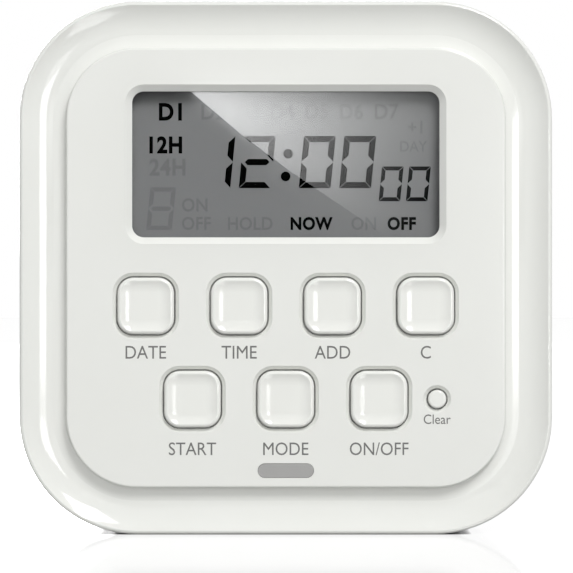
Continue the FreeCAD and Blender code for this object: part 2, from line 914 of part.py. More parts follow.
def socket_face(side):
    # built for the right side, facing +X; the left one is the same turned half a turn about Z
    plate = rounded_block(face_width, face_height, face_corner, 0, face_thick)
    flange = rounded_block(face_width + 2 * face_flange, face_height + 2 * face_flange,
                           face_corner + face_flange, 0, face_flange_thick)
    flange.translate(V(0, face_outer - face_seat, 0))
    face = join(plate, [flange])
    drop = blade_z - middle_z
    cuts = [rod(ground_hole, -past, face_thick + past, 0, drop - ground_drop)]
    for place, width in ((-half_pitch, neutral_width), (half_pitch, line_width)):
        long_half = width / 2 + slot_long
        thick_half = blade_thick / 2 + slot_gap
        cuts.append(block(place - thick_half, place + thick_half, -past, face_thick + past,
                          drop - long_half, drop + long_half))
    face = face.cut(cuts)
    face.rotate(V(0, 0, 0), V(0, 0, 1), 90)
    face.translate(V(face_outer, 0, 0))
    if side < 0:
        face.rotate(V(0, 0, 0), V(0, 0, 1), 180)
    face.translate(V(0, socket_y, middle_z))
    return face


def contact_clip():
    # two sprung leaves that open towards +X, at the width that they take with a blade between them
    gap = blade_thick / 2
    root = clip_spread
    leaf = [
        V(contact_x - contact_length, root, 0),
        V(contact_x - contact_length + leaf_root, root, 0),
        V(contact_x - flare_length, gap, 0),
        V(contact_x, gap + contact_flare, 0),
    ]
    solids = []
    for side in (-1, 1):
        inner = [V(p.x, side * p.y, 0) for p in leaf]
        outer = [V(p.x, side * (p.y + strip), 0) for p in reversed(leaf)]
        face = Part.Face(Part.makePolygon(inner + outer + inner[:1]))
        solids.append(face.extrude(V(0, 0, contact_z_height)))
    root_x = contact_x - contact_length
    solids.append(block(root_x - strip, root_x, -root - strip, root + strip, 0, contact_z_height))
    clip = join(solids[0], solids[1:])
    clip.translate(V(0, 0, blade_z - contact_z_height / 2))
    return clip


def cross_link(left_y, right_y, z):
    # strip from the left clip to the right one, changing rows across the middle
    root_x = contact_x - contact_length
    bend_x = half_pitch + blade_thick
    route = [V(-root_x, left_y, 0), V(-bend_x + blade_thick, left_y, 0),
             V(bend_x - blade_thick, right_y, 0), V(root_x, right_y, 0)]
    near = [p - V(0, strip / 2, 0) for p in route]
    far = [p + V(0, strip / 2, 0) for p in reversed(route)]
    face = Part.Face(Part.makePolygon(near + far + near[:1]))
    link = face.extrude(V(0, 0, link_height))
    link.translate(V(0, 0, z - link_height / 2))
    return link


def contact_bar(left_y, right_y, z):
    right = contact_clip()
    left = right.copy()
    left.rotate(V(0, 0, 0), V(0, 0, 1), 180)
    right.translate(V(0, right_y, 0))
    left.translate(V(0, left_y, 0))
    return join(right, [left, cross_link(left_y, right_y, z)])


def live_bar():
    return contact_bar(near_row_y, far_row_y, live_link_z)


def neutral_bar():
    return contact_bar(far_row_y, near_row_y, neutral_link_z)


def ground_clip(side):
    outer = contact_x * side
    inner = (contact_x - contact_length + leaf_root) * side
    start = V(min(outer, inner), socket_y, ground_z)
    end = V(max(outer, inner), socket_y, ground_z)
    tube = bar(ground_radius + strip, start, end)
    bore = bar(ground_radius, start, end)
    slit = block(start.x, end.x, socket_y - 2 * ground_radius, socket_y,
                 ground_z - clip_slit / 2, ground_z + clip_slit / 2)
    return tube.cut([bore, slit])


def ground_bar():
    reach = contact_x - contact_length + leaf_root + strip
    half = ground_strip / 2
    strip_front = socket_y - strip / 2
    band = block(-reach, reach, strip_front, strip_front + strip, ground_z - half, ground_z + half)
    hollow = []
    clips = []
    for side in (-1, 1):
        clips.append(ground_clip(side))
        end = reach * side
        back = (reach - strip) * side
        hollow.append(block(min(end, back), max(end, back), strip_front, socket_y + ground_radius + strip / 2,
                            ground_z - half, ground_z + half))
    return join(band, clips + hollow)


def contact_cover():
    height = shelf_high + shelf_thick - shelf_low
    plate = block(-shelf_width / 2, shelf_width / 2, plate_front, plate_back, shelf_low, shelf_low + height)
    ears = []
    holes = []
    for x, z in ear_places():
        ears.append(rod(ear_radius, plate_front, plate_back, x, z))
        holes.append(rod(small_shank + head_gap, plate_front - past, plate_back + past, x, z))
    return join(plate, ears).cut(holes)


def ear_places():
    return [(side * ear_x, shelf_high + shelf_thick + ear_rise) for side in (-1, 1)]


# Rear cover

def rear_shell():
    back_front = front_depth + parting_gap
    outer = rounded_block(body_size, body_size, body_corner, back_front, body_depth)
    outer = outer.makeFillet(back_round, edges_at_depth(outer, body_depth))
    step = wall - lip_wall
    lip = rounded_block(body_size - 2 * step, body_size - 2 * step, body_corner - step,
                        front_depth - lip_height, back_front + past)
    inner = body_size - 2 * wall
    hollow = rounded_block(inner, inner, body_corner - wall, front_depth - lip_height - past, inner_back)
    shell = join(outer, [lip]).cut(hollow)
    shell.translate(V(0, 0, middle_z))
    return shell


def plug_pad():
    middle = blade_z - ground_drop / 2 + (neutral_width / 2 - ground_radius) / 2
    pad = rounded_block(pad_width, pad_height, pad_corner, inner_back, plug_face, 0, middle)
    return pad.makeFillet(pad_round, edges_at_depth(pad, plug_face))


def shelves():
    half = shelf_width / 2
    low = block(-half, half, plate_back, inner_back, shelf_low, shelf_low + shelf_thick)
    high = block(-half, half, plate_back, inner_back, shelf_high, shelf_high + shelf_thick)
    notch_left = block(return_x - 2 * wire_radius, return_x + 2 * wire_radius,
                       far_row_y - 2 * wire_radius, far_row_y + 2 * wire_radius,
                       shelf_low - past, shelf_low + shelf_thick + past)
    feed_y = feed_depth()
    notch_middle = block(feed_x - 2 * wire_radius, feed_x + 2 * wire_radius,
                         feed_y - 2 * wire_radius, feed_y + 2 * wire_radius,
                         shelf_low - past, shelf_low + shelf_thick + past)
    line_y = line_wire_depth()
    notch_right = block(half_pitch - 2 * wire_radius, half_pitch + 2 * wire_radius,
                        line_y - 2 * wire_radius, line_y + 2 * wire_radius,
                        shelf_low - past, shelf_low + shelf_thick + past)
    return [low.cut([notch_left, notch_middle, notch_right]), high]


def socket_windows():
    width = face_width + 2 * face_fit
    height = face_height + 2 * face_fit
    cut = rounded_block(width, height, face_corner + face_fit, 0, wall + 2 * past)
    cut.rotate(V(0, 0, 0), V(0, 0, 1), 90)
    cut.translate(V(body_size / 2 + past, 0, 0))
    other = cut.copy()
    other.rotate(V(0, 0, 0), V(0, 0, 1), 180)
    for opening in (cut, other):
        opening.translate(V(0, socket_y, middle_z))
    return [cut, other]


def rear_cover():
    cover = rear_shell()
    added = [plug_pad()] + shelves()
    cuts = socket_windows() + pin_cuts(inner_back - past, plug_face + past, ground_radius)
    for x, z in case_screw_places():
        added.append(rod(tube_radius, front_depth, inner_back + tiny, x, z))
        cuts.append(rod(case_shank + head_gap, front_depth - past, body_depth + past, x, z))
        cuts.append(rod(case_head + head_gap, screw_seat, body_depth + past, x, z))
    for side in (-1, 1):
        added.append(rod(post_radius, power_back, inner_back, side * power_screw_x, power_screw_z))
        cuts.append(rod(small_shank + thread_fit, power_back - past, power_back + small_reach,
                        side * power_screw_x, power_screw_z))
    for x, z in ear_places():
        added.append(rod(post_radius, plate_back, inner_back, x, z))
        cuts.append(rod(small_shank + thread_fit, plate_back - past, plate_back + small_reach, x, z))
    return join(cover, added).cut(cuts)


# Screws

def screw(x, z, seat, side, shank, length, head, head_thick):
    # head on the side of the seat that the sign gives, shank the other way
    head_y = (seat, seat + head_thick) if side > 0 else (seat - head_thick, seat)
    shank_y = (seat - length, seat) if side > 0 else (seat, seat + length)
    cap = rod(head, head_y[0], head_y[1], x, z)
    outer = head_y[1] if side > 0 else head_y[0]
    cap = cap.makeFillet(head_thick * head_round, edges_at_depth(cap, outer))
    body = join(cap, [rod(shank, shank_y[0], shank_y[1], x, z)])
    reach = head * recess_reach
    half = recess_width / 2
    deep = (outer - recess_depth, outer + past) if side > 0 else (outer - past, outer + recess_depth)
    cross = [
        block(x - reach, x + reach, deep[0], deep[1], z - half, z + half),
        block(x - half, x + half, deep[0], deep[1], z - reach, z + reach),
    ]
    return body.cut(cross)


def case_screws():
    group = []
    for x, z in case_screw_places():
        group.append(screw(x, z, screw_seat, 1, case_shank, tube_floor + case_reach, case_head, case_head_thick))
    return Part.makeCompound(group)


def control_board_screws():
    group = []
    for x, z in board_screw_places():
        group.append(screw(x, z, board_back, 1, small_shank, board_thick + small_reach,
                           small_head, small_head_thick))
    return Part.makeCompound(group)


def power_board_screws():
    group = []
    for side in (-1, 1):
        group.append(screw(side * power_screw_x, power_screw_z, power_front, -1, small_shank,
                           board_thick + small_reach - head_gap, small_head, small_head_thick))
    return Part.makeCompound(group)


def contact_cover_screws():
    group = []
    for x, z in ear_places():
        group.append(screw(x, z, plate_front, -1, small_shank, cover_plate + small_reach - head_gap,
                           small_head, small_head_thick))
    return Part.makeCompound(group)


# Wires inside

def feed_depth():
    # where the live link crosses over the feed wire
    bend_x = half_pitch
    share = (feed_x + bend_x) / (2 * bend_x)
    return near_row_y + share * pin_pitch


def line_wire_depth():
    return holder_front - wire_radius


def bent_wire(x, y, top):
    # from the power board straight back, then up to what it feeds
    start = V(x, power_back, wire_z)
    corner_y = y - wire_bend
    first = line(start, V(x, corner_y, wire_z))
    turn_middle = V(x, corner_y + wire_bend * diagonal, wire_z + wire_bend * (1 - diagonal))
    turn = Part.Arc(V(x, corner_y, wire_z), turn_middle, V(x, y, wire_z + wire_bend)).toShape()
    last = line(V(x, y, wire_z + wire_bend), V(x, y, top))
    route = Part.Wire([first, turn, last])
    section = Part.Wire([Part.makeCircle(wire_radius, start, V(0, 1, 0))])
    return route.makePipeShell([section], True, False)


def line_wire():
    return bent_wire(half_pitch, line_wire_depth(), blade_z - line_width / 2)


def relay_wire():
    return bent_wire(feed_x, feed_depth(), live_link_z - link_height / 2)


def neutral_wire():
    return bent_wire(return_x, far_row_y, neutral_link_z - link_height / 2)


def all_pieces():
    pieces = {
        "front_cover": front_cover(),
        "rear_cover": rear_cover(),
        "case_screws": case_screws(),
        "display_window": display_window(),
        "lcd_panel": lcd_panel(),
        "lcd_frame": lcd_frame(),
        "zebra_strips": zebra_strips(),
        "reset_button": reset_button(),
        "switch_bodies": switch_bodies(),
        "indicator_lens": indicator_lens(),
        "indicator_lamp": indicator_lamp(),
        "control_board": control_board(),
        "control_board_screws": control_board_screws(),
        "control_chip": control_chip(),
        "timing_crystal": timing_crystal(),
        "backup_cell": backup_cell(),
        "battery_tabs": battery_tabs(),
        "board_header": board_header(),
        "power_board": power_board(),
        "power_board_screws": power_board_screws(),
        "relay": relay(),
        "film_capacitor": film_capacitor(),
        "can_capacitor": can_capacitor(),
        "varistor": varistor(),
        "diodes": diodes(),
        "resistors": resistors(),
        "line_blade": line_blade(),
        "neutral_blade": neutral_blade(),
        "ground_pin": ground_pin(),
        "blade_holder": blade_holder(),
        "left_socket_face": socket_face(-1),
        "right_socket_face": socket_face(1),
        "live_bar": live_bar(),
        "neutral_bar": neutral_bar(),
        "ground_bar": ground_bar(),
        "contact_cover": contact_cover(),
        "contact_cover_screws": contact_cover_screws(),
        "line_wire": line_wire(),
        "relay_wire": relay_wire(),
        "neutral_wire": neutral_wire(),
    }
    for name, (x, z) in key_places().items():
        pieces[name] = square_key(x, z)
    for name, (x, z) in switch_places().items():
        pieces[name.split("_")[0] + "_plunger"] = plunger(x, z)
    return pieces


os.makedirs("parts", exist_ok=True)
for name, shape in all_pieces().items():
    shape.translate(V(0, -object_middle_y, 0))
    shape.exportStep("parts/" + name + ".step")
    print(name, len(shape.Solids), round(shape.Volume, 2), shape.isValid())
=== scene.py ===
import json
import math

import bmesh
import bpy
from mathutils import Matrix, Vector


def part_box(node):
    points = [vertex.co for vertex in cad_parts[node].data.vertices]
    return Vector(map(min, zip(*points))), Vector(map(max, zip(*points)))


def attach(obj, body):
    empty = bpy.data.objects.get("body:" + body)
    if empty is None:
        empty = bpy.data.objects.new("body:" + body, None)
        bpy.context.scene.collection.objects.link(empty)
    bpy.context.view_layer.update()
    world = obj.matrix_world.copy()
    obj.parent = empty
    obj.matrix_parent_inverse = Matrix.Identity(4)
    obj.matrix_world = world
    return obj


# A square white plug-in timer, seen straight from the front on a white glossy floor.
# The frame holds every rigid piece; here they get their finishes, and the prints on the panel
# and on the display are made. Lengths are in metres, with mm as the unit of the named values.

mm = 0.001

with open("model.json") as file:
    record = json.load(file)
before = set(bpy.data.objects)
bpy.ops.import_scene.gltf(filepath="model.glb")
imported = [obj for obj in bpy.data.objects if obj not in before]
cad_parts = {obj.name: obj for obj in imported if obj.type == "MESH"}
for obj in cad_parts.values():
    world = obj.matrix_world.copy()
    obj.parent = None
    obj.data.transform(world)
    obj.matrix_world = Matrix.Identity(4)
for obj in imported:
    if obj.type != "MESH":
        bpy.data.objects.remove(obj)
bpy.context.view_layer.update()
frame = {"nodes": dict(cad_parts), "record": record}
slotOf = {part["node"]: part["material_slot"] for part in frame["record"]["subparts"]}
print("frame loaded:", len(frame["nodes"]), "nodes")


# Small helpers

def toLinear(hexColour):
    values = [int(hexColour[i:i + 2], 16) / 255 for i in (1, 3, 5)]
    linear = [v / 12.92 if v <= 0.04045 else ((v + 0.055) / 1.055) ** 2.4 for v in values]
    return (*linear, 1.0)


def addNode(tree, kind, settings=None, inputs=None):
    node = tree.nodes.new(kind)
    for name, value in (settings or {}).items():
        setattr(node, name, value)
    for key, value in (inputs or {}).items():
        if isinstance(value, bpy.types.NodeSocket):
            tree.links.new(value, node.inputs[key])
        else:
            node.inputs[key].default_value = value
    return node


def newMaterial(name):
    material = bpy.data.materials.new(name)
    material.use_nodes = True
    material.node_tree.nodes.clear()
    return material, material.node_tree


def meshObject(name, mesh):
    piece = bpy.data.objects.new(name, mesh)
    bpy.context.scene.collection.objects.link(piece)
    return piece


def plainMesh(piece, name):
    # what a text or a tree makes, as a mesh of its own; the carrier and its modifier go
    bpy.context.view_layer.update()
    shaped = piece.evaluated_get(bpy.context.evaluated_depsgraph_get())
    mesh = bpy.data.meshes.new_from_object(shaped)
    mesh.name = name
    bpy.data.objects.remove(piece)
    return mesh


def joinedMesh(name, meshes):
    joined = bmesh.new()
    for mesh in meshes:
        joined.from_mesh(mesh)
    result = bpy.data.meshes.new(name)
    joined.to_mesh(result)
    joined.free()
    return result


# Places on the object, from the frame

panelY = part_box("indicator_lens")[0].y       # flat front panel; the lens is flush with it
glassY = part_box("lcd_panel")[0].y            # front of the display glass
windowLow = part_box("display_window")[0]
coverLow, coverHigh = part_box("front_cover")
middleZ = (coverLow.z + coverHigh.z) / 2


# Camera: level, straight at the front, a long lens

cameraLook = {
    "lens": 200.0,           # mm on a 36 mm sensor
    "sensor": 36.0,
    "seenWidth": 77.97,      # mm of the panel across the picture
    "acrossX": 0.095,        # mm, the axis from the middle of the casing
    "heightZ": 33.755,       # mm above the floor
}
cameraDistance = cameraLook["seenWidth"] * mm * cameraLook["lens"] / cameraLook["sensor"]
cameraPlace = Vector((cameraLook["acrossX"] * mm, panelY - cameraDistance,
                      cameraLook["heightZ"] * mm))
cameraData = bpy.data.cameras.new("camera")
cameraData.lens = cameraLook["lens"]
cameraData.sensor_width = cameraLook["sensor"]
cameraData.clip_start = 0.01
cameraData.clip_end = 20.0
camera = bpy.data.objects.new("camera", cameraData)
camera.location = cameraPlace
camera.rotation_euler = (math.pi / 2, 0, 0)
bpy.context.scene.collection.objects.link(camera)
bpy.context.scene.camera = camera
bpy.context.scene.view_settings.view_transform = "Standard"


# Finishes. Each moulded plastic is one call with what its maker would state.

def mouldedPlastic(name, look):
    # colour drifts a little as pigment does; roughness and ripple follow the tool's polish
    material, tree = newMaterial(name)
    place = addNode(tree, "ShaderNodeTexCoord").outputs["Object"]
    drift = addNode(tree, "ShaderNodeTexNoise", None,
                    {"Vector": place, "Scale": 1 / (look["driftMm"] * mm), "Detail": 3.0})
    tint = addNode(tree, "ShaderNodeMix", {"data_type": "RGBA"}, {
        "Factor": drift.outputs["Fac"],
        "A": toLinear(look["colour"]), "B": toLinear(look["colourNear"])})
    skin = addNode(tree, "ShaderNodeTexNoise", None,
                   {"Vector": place, "Scale": 1 / (look["grainMm"] * mm), "Detail": 2.0})
    sheen = addNode(tree, "ShaderNodeMapRange", None, {
        "Value": skin.outputs["Fac"], "To Min": look["roughness"] - look["roughnessSpread"],
        "To Max": look["roughness"] + look["roughnessSpread"]})
    ripple = addNode(tree, "ShaderNodeBump", None, {
        "Height": skin.outputs["Fac"], "Strength": look["bump"], "Distance": look["grainDeepMm"] * mm})
    surface = addNode(tree, "ShaderNodeBsdfPrincipled", None, {
        "Base Color": tint.outputs["Result"], "Roughness": sheen.outputs["Result"],
        "IOR": look["ior"], "Normal": ripple.outputs["Normal"]})
    addNode(tree, "ShaderNodeOutputMaterial", None, {"Surface": surface.outputs["BSDF"]})
    return material


plasticLooks = {
    # ABS from a polished tool: a smooth bright skin with long soft ripples
    "casing_plastic": {
        "colour": "#E9EAE6", "colourNear": "#E6E7E2", "driftMm": 14.0, "grainMm": 2.6,
        "grainDeepMm": 0.003, "bump": 0.3, "roughness": 0.09, "roughnessSpread": 0.02,
        "ior": 1.53},
    "key_plastic": {
        "colour": "#ECEDE8", "colourNear": "#E9EAE5", "driftMm": 9.0, "grainMm": 2.0,
        "grainDeepMm": 0.002, "bump": 0.3, "roughness": 0.1, "roughnessSpread": 0.02,
        "ior": 1.53},
    # ABS again, spark eroded to a fine satin where a plug's face rubs
    "face_plastic": {
        "colour": "#E2E3DE", "colourNear": "#DDDED9", "driftMm": 8.0, "grainMm": 0.35,
        "grainDeepMm": 0.012, "bump": 0.5, "roughness": 0.38, "roughnessSpread": 0.05,
        "ior": 1.53},
    # frosted acrylic light pipe, grey while the lamp is off
    "lens_plastic": {
        "colour": "#A1A19F", "colourNear": "#9B9A99", "driftMm": 3.0, "grainMm": 0.3,
        "grainDeepMm": 0.006, "bump": 0.3, "roughness": 0.3, "roughnessSpread": 0.05,
        "ior": 1.49},
    "black_plastic": {
        "colour": "#1D1D1F", "colourNear": "#26262A", "driftMm": 4.0, "grainMm": 0.3,
        "grainDeepMm": 0.01, "bump": 0.5, "roughness": 0.42, "roughnessSpread": 0.06,
        "ior": 1.52},
    "plunger_plastic": {
        "colour": "#24211F", "colourNear": "#2E2A28", "driftMm": 2.0, "grainMm": 0.2,
        "grainDeepMm": 0.006, "bump": 0.4, "roughness": 0.35, "roughnessSpread": 0.05,
        "ior": 1.5},
    # glass filled polyester with fine fibre streaks
    "relay_plastic": {
        "colour": "#1F4F9A", "colourNear": "#255AA6", "driftMm": 5.0, "grainMm": 0.4,
        "grainDeepMm": 0.01, "bump": 0.4, "roughness": 0.36, "roughnessSpread": 0.05,
        "ior": 1.56},
    "film_plastic": {
        "colour": "#D9B63A", "colourNear": "#CFA92F", "driftMm": 5.0, "grainMm": 0.3,
        "grainDeepMm": 0.01, "bump": 0.4, "roughness": 0.34, "roughnessSpread": 0.05,
        "ior": 1.55},
    # dipped epoxy, a thick glossy drop
    "disc_epoxy": {
        "colour": "#1E6FB0", "colourNear": "#1B63A0", "driftMm": 3.0, "grainMm": 0.9,
        "grainDeepMm": 0.02, "bump": 0.5, "roughness": 0.2, "roughnessSpread": 0.04,
        "ior": 1.55},
    "lamp_epoxy": {
        "colour": "#C8382E", "colourNear": "#B83028", "driftMm": 2.0, "grainMm": 1.0,
        "grainDeepMm": 0.004, "bump": 0.2, "roughness": 0.12, "roughnessSpread": 0.02,
        "ior": 1.55},
    # nylon, waxy and a little cream
    "holder_nylon": {
        "colour": "#DAD6C8", "colourNear": "#D2CDBE", "driftMm": 6.0, "grainMm": 0.4,
        "grainDeepMm": 0.012, "bump": 0.4, "roughness": 0.4, "roughnessSpread": 0.05,
        "ior": 1.53},
    # soft extruded PVC on the wires
    "wire_cover": {
        "colour": "#232325", "colourNear": "#2C2C2F", "driftMm": 3.0, "grainMm": 0.5,
        "grainDeepMm": 0.008, "bump": 0.4, "roughness": 0.38, "roughnessSpread": 0.05,
        "ior": 1.53},
    "wire_cover_white": {
        "colour": "#DEDEDA", "colourNear": "#D5D5D0", "driftMm": 3.0, "grainMm": 0.5,
        "grainDeepMm": 0.008, "bump": 0.4, "roughness": 0.38, "roughnessSpread": 0.05,
        "ior": 1.53},
}


def drawnMetal(name, look):
    # fine lines along the way it was drawn or rolled, and a soft cloud of handling marks
    material, tree = newMaterial(name)
    place = addNode(tree, "ShaderNodeTexCoord").outputs["Object"]
    stretched = addNode(tree, "ShaderNodeMapping", None, {"Vector": place, "Scale": look["stretch"]})
    lines = addNode(tree, "ShaderNodeTexNoise", None, {
        "Vector": stretched.outputs["Vector"], "Scale": 1 / (look["lineMm"] * mm), "Detail": 4.0})
    cloud = addNode(tree, "ShaderNodeTexNoise", None, {
        "Vector": place, "Scale": 1 / (look["cloudMm"] * mm), "Detail": 3.0})
    tint = addNode(tree, "ShaderNodeMix", {"data_type": "RGBA"}, {
        "Factor": cloud.outputs["Fac"],
        "A": toLinear(look["colour"]), "B": toLinear(look["colourNear"])})
    rough = addNode(tree, "ShaderNodeMapRange", None, {
        "Value": lines.outputs["Fac"], "To Min": look["roughness"] - look["roughnessSpread"],
        "To Max": look["roughness"] + look["roughnessSpread"]})
    ripple = addNode(tree, "ShaderNodeBump", None, {
        "Height": lines.outputs["Fac"], "Strength": look["bump"], "Distance": look["lineDeepMm"] * mm})
    surface = addNode(tree, "ShaderNodeBsdfPrincipled", None, {
        "Base Color": tint.outputs["Result"], "Metallic": 1.0, "Roughness": rough.outputs["Result"],
        "Normal": ripple.outputs["Normal"]})
    addNode(tree, "ShaderNodeOutputMaterial", None, {"Surface": surface.outputs["BSDF"]})
    return material


metalLooks = {
    # nickel on brass, cold and bright, drawn along the pins
    "plug_brass": {
        "colour": "#C9C5BC", "colourNear": "#BDB8AE", "stretch": (1, 0.06, 1), "lineMm": 0.12,
        "lineDeepMm": 0.004, "cloudMm": 5.0, "bump": 0.35, "roughness": 0.22,
        "roughnessSpread": 0.05},
    # phosphor bronze strip, rolled along the bars
    "contact_brass": {
        "colour": "#C79A62", "colourNear": "#B98A52", "stretch": (0.06, 1, 1), "lineMm": 0.12,
        "lineDeepMm": 0.004, "cloudMm": 4.0, "bump": 0.35, "roughness": 0.28,
        "roughnessSpread": 0.06},
    # zinc plated steel screws, turned
    "steel": {
        "colour": "#B9BBBE", "colourNear": "#A7A9AD", "stretch": (1, 1, 1), "lineMm": 0.2,
        "lineDeepMm": 0.004, "cloudMm": 1.5, "bump": 0.3, "roughness": 0.3,
        "roughnessSpread": 0.06},
    "cell_steel": {
        "colour": "#C6C7C8", "colourNear": "#B8B9BB", "stretch": (1, 1, 1), "lineMm": 0.15,
        "lineDeepMm": 0.003, "cloudMm": 4.0, "bump": 0.3, "roughness": 0.26,
        "roughnessSpread": 0.05},
    "can_aluminium": {
        "colour": "#BFC3C7", "colourNear": "#B0B4B8", "stretch": (1, 0.1, 1), "lineMm": 0.2,
        "lineDeepMm": 0.004, "cloudMm": 4.0, "bump": 0.3, "roughness": 0.3,
        "roughnessSpread": 0.06},
}


def clearAcrylic():
    # polished acrylic plate: clear, hard shine, lets lamps through to the display
    look = {"colour": "#FBFCFC", "shadow": "#F4F5F5", "hazeMm": 6.0, "haze": 0.006, "ior": 1.49}
    material, tree = newMaterial("clear_acrylic")
    place = addNode(tree, "ShaderNodeTexCoord").outputs["Object"]
    haze = addNode(tree, "ShaderNodeTexNoise", None, {
        "Vector": place, "Scale": 1 / (look["hazeMm"] * mm), "Detail": 2.0})
    sheen = addNode(tree, "ShaderNodeMapRange", None, {
        "Value": haze.outputs["Fac"], "To Min": 0.0, "To Max": look["haze"]})
    plate = addNode(tree, "ShaderNodeBsdfPrincipled", None, {
        "Base Color": toLinear(look["colour"]), "Roughness": sheen.outputs["Result"],
        "IOR": look["ior"], "Transmission Weight": 1.0})
    through = addNode(tree, "ShaderNodeBsdfTransparent", None, {"Color": toLinear(look["shadow"])})
    rays = addNode(tree, "ShaderNodeLightPath")
    surface = addNode(tree, "ShaderNodeMixShader", None, {
        0: rays.outputs["Is Shadow Ray"], 1: plate.outputs["BSDF"], 2: through.outputs["BSDF"]})
    addNode(tree, "ShaderNodeOutputMaterial", None, {"Surface": surface.outputs["Shader"]})
    return material


def displayGlass():
    # polariser film over a foil reflector: even grey, a faint fine tooth, and a shine of its own
    look = {"colour": "#818181", "colourNear": "#7E7E7E", "toothMm": 0.12,
            "roughness": 0.05, "shine": 0.85, "ior": 1.5}
    material, tree = newMaterial("display_glass")
    place = addNode(tree, "ShaderNodeTexCoord").outputs["Object"]
    tooth = addNode(tree, "ShaderNodeTexNoise", None, {
        "Vector": place, "Scale": 1 / (look["toothMm"] * mm), "Detail": 1.0})
    tint = addNode(tree, "ShaderNodeMix", {"data_type": "RGBA"}, {
        "Factor": tooth.outputs["Fac"],
        "A": toLinear(look["colour"]), "B": toLinear(look["colourNear"])})
    surface = addNode(tree, "ShaderNodeBsdfPrincipled", None, {
        "Base Color": tint.outputs["Result"], "Roughness": look["roughness"], "IOR": look["ior"],
        "Specular IOR Level": look["shine"]})
    addNode(tree, "ShaderNodeOutputMaterial", None, {"Surface": surface.outputs["BSDF"]})
    return material


def rubberStrips():
    # silicone with thin carbon layers, 0.1 mm apart, drawn every 0.5 mm so that they show
    look = {"carbon": "#1C1C1C", "silicone": "#C98F8B", "layerMm": 0.5,
            "roughness": 0.6, "ior": 1.41}
    material, tree = newMaterial("layered_rubber")
    place = addNode(tree, "ShaderNodeTexCoord").outputs["Object"]
    # a wave texture's bands lie pi / (10 x Scale) apart
    layers = addNode(tree, "ShaderNodeTexWave", {"bands_direction": "X"}, {
        "Vector": place, "Scale": math.pi / (10 * look["layerMm"] * mm), "Distortion": 0.0})
    tint = addNode(tree, "ShaderNodeValToRGB", None, {"Fac": layers.outputs["Fac"]})
    tint.color_ramp.interpolation = "CONSTANT"
    tint.color_ramp.elements[0].color = toLinear(look["carbon"])
    tint.color_ramp.elements[1].color = toLinear(look["silicone"])
    tint.color_ramp.elements[1].position = 0.5
    surface = addNode(tree, "ShaderNodeBsdfPrincipled", None, {
        "Base Color": tint.outputs["Color"], "Roughness": look["roughness"], "IOR": look["ior"]})
    addNode(tree, "ShaderNodeOutputMaterial", None, {"Surface": surface.outputs["BSDF"]})
    return material


def boardLaminate():
    # glass cloth laminate under green lacquer: the weave shows faintly, copper runs show lighter
    look = {"lacquer": "#175C34", "overCopper": "#1F7443", "clothMm": 0.6, "clothDeepMm": 0.01,
            "runMm": 2.2, "runLong": 2.6, "runTall": 0.9, "runApart": 0.16,
            "roughness": 0.3, "ior": 1.52}
    material, tree = newMaterial("board_laminate")
    place = addNode(tree, "ShaderNodeTexCoord").outputs["Object"]
    weave = addNode(tree, "ShaderNodeTexChecker", None, {
        "Vector": place, "Scale": 1 / (look["clothMm"] * mm)})
    facing = addNode(tree, "ShaderNodeMapping", None, {
        "Vector": place, "Rotation": (math.pi / 2, 0, 0)})
    runs = addNode(tree, "ShaderNodeTexBrick", None, {
        "Vector": facing.outputs["Vector"], "Scale": 1 / (look["runMm"] * mm),
        "Color1": (1, 1, 1, 1), "Color2": (1, 1, 1, 1), "Mortar": (0, 0, 0, 1),
        "Mortar Size": look["runApart"], "Brick Width": look["runLong"],
        "Row Height": look["runTall"]})
    tint = addNode(tree, "ShaderNodeMix", {"data_type": "RGBA"}, {
        "Factor": runs.outputs["Color"],
        "A": toLinear(look["lacquer"]), "B": toLinear(look["overCopper"])})
    relief = addNode(tree, "ShaderNodeBump", None, {
        "Height": weave.outputs["Fac"], "Strength": 0.2, "Distance": look["clothDeepMm"] * mm})
    surface = addNode(tree, "ShaderNodeBsdfPrincipled", None, {
        "Base Color": tint.outputs["Result"], "Roughness": look["roughness"], "IOR": look["ior"],
        "Normal": relief.outputs["Normal"]})
    addNode(tree, "ShaderNodeOutputMaterial", None, {"Surface": surface.outputs["BSDF"]})
    return material


def bandedLacquer():
    # dipped lacquer on the small round parts, with rings of colour across them
    look = {"body": "#C9B48C", "ring": "#7A3420", "ringMm": 1.5, "ringFrom": 0.86, "ringFull": 0.9,
            "roughness": 0.3, "ior": 1.52}
    material, tree = newMaterial("banded_lacquer")
    place = addNode(tree, "ShaderNodeTexCoord").outputs["Object"]
    rings = addNode(tree, "ShaderNodeTexWave", {"bands_direction": "Z"}, {
        "Vector": place, "Scale": math.pi / (10 * look["ringMm"] * mm), "Distortion": 0.0})
    tint = addNode(tree, "ShaderNodeValToRGB", None, {"Fac": rings.outputs["Fac"]})
    tint.color_ramp.elements[0].color = toLinear(look["body"])
    tint.color_ramp.elements[0].position = look["ringFrom"]
    tint.color_ramp.elements[1].color = toLinear(look["ring"])
    tint.color_ramp.elements[1].position = look["ringFull"]
    surface = addNode(tree, "ShaderNodeBsdfPrincipled", None, {
        "Base Color": tint.outputs["Color"], "Roughness": look["roughness"], "IOR": look["ior"]})
    addNode(tree, "ShaderNodeOutputMaterial", None, {"Surface": surface.outputs["BSDF"]})
    return material


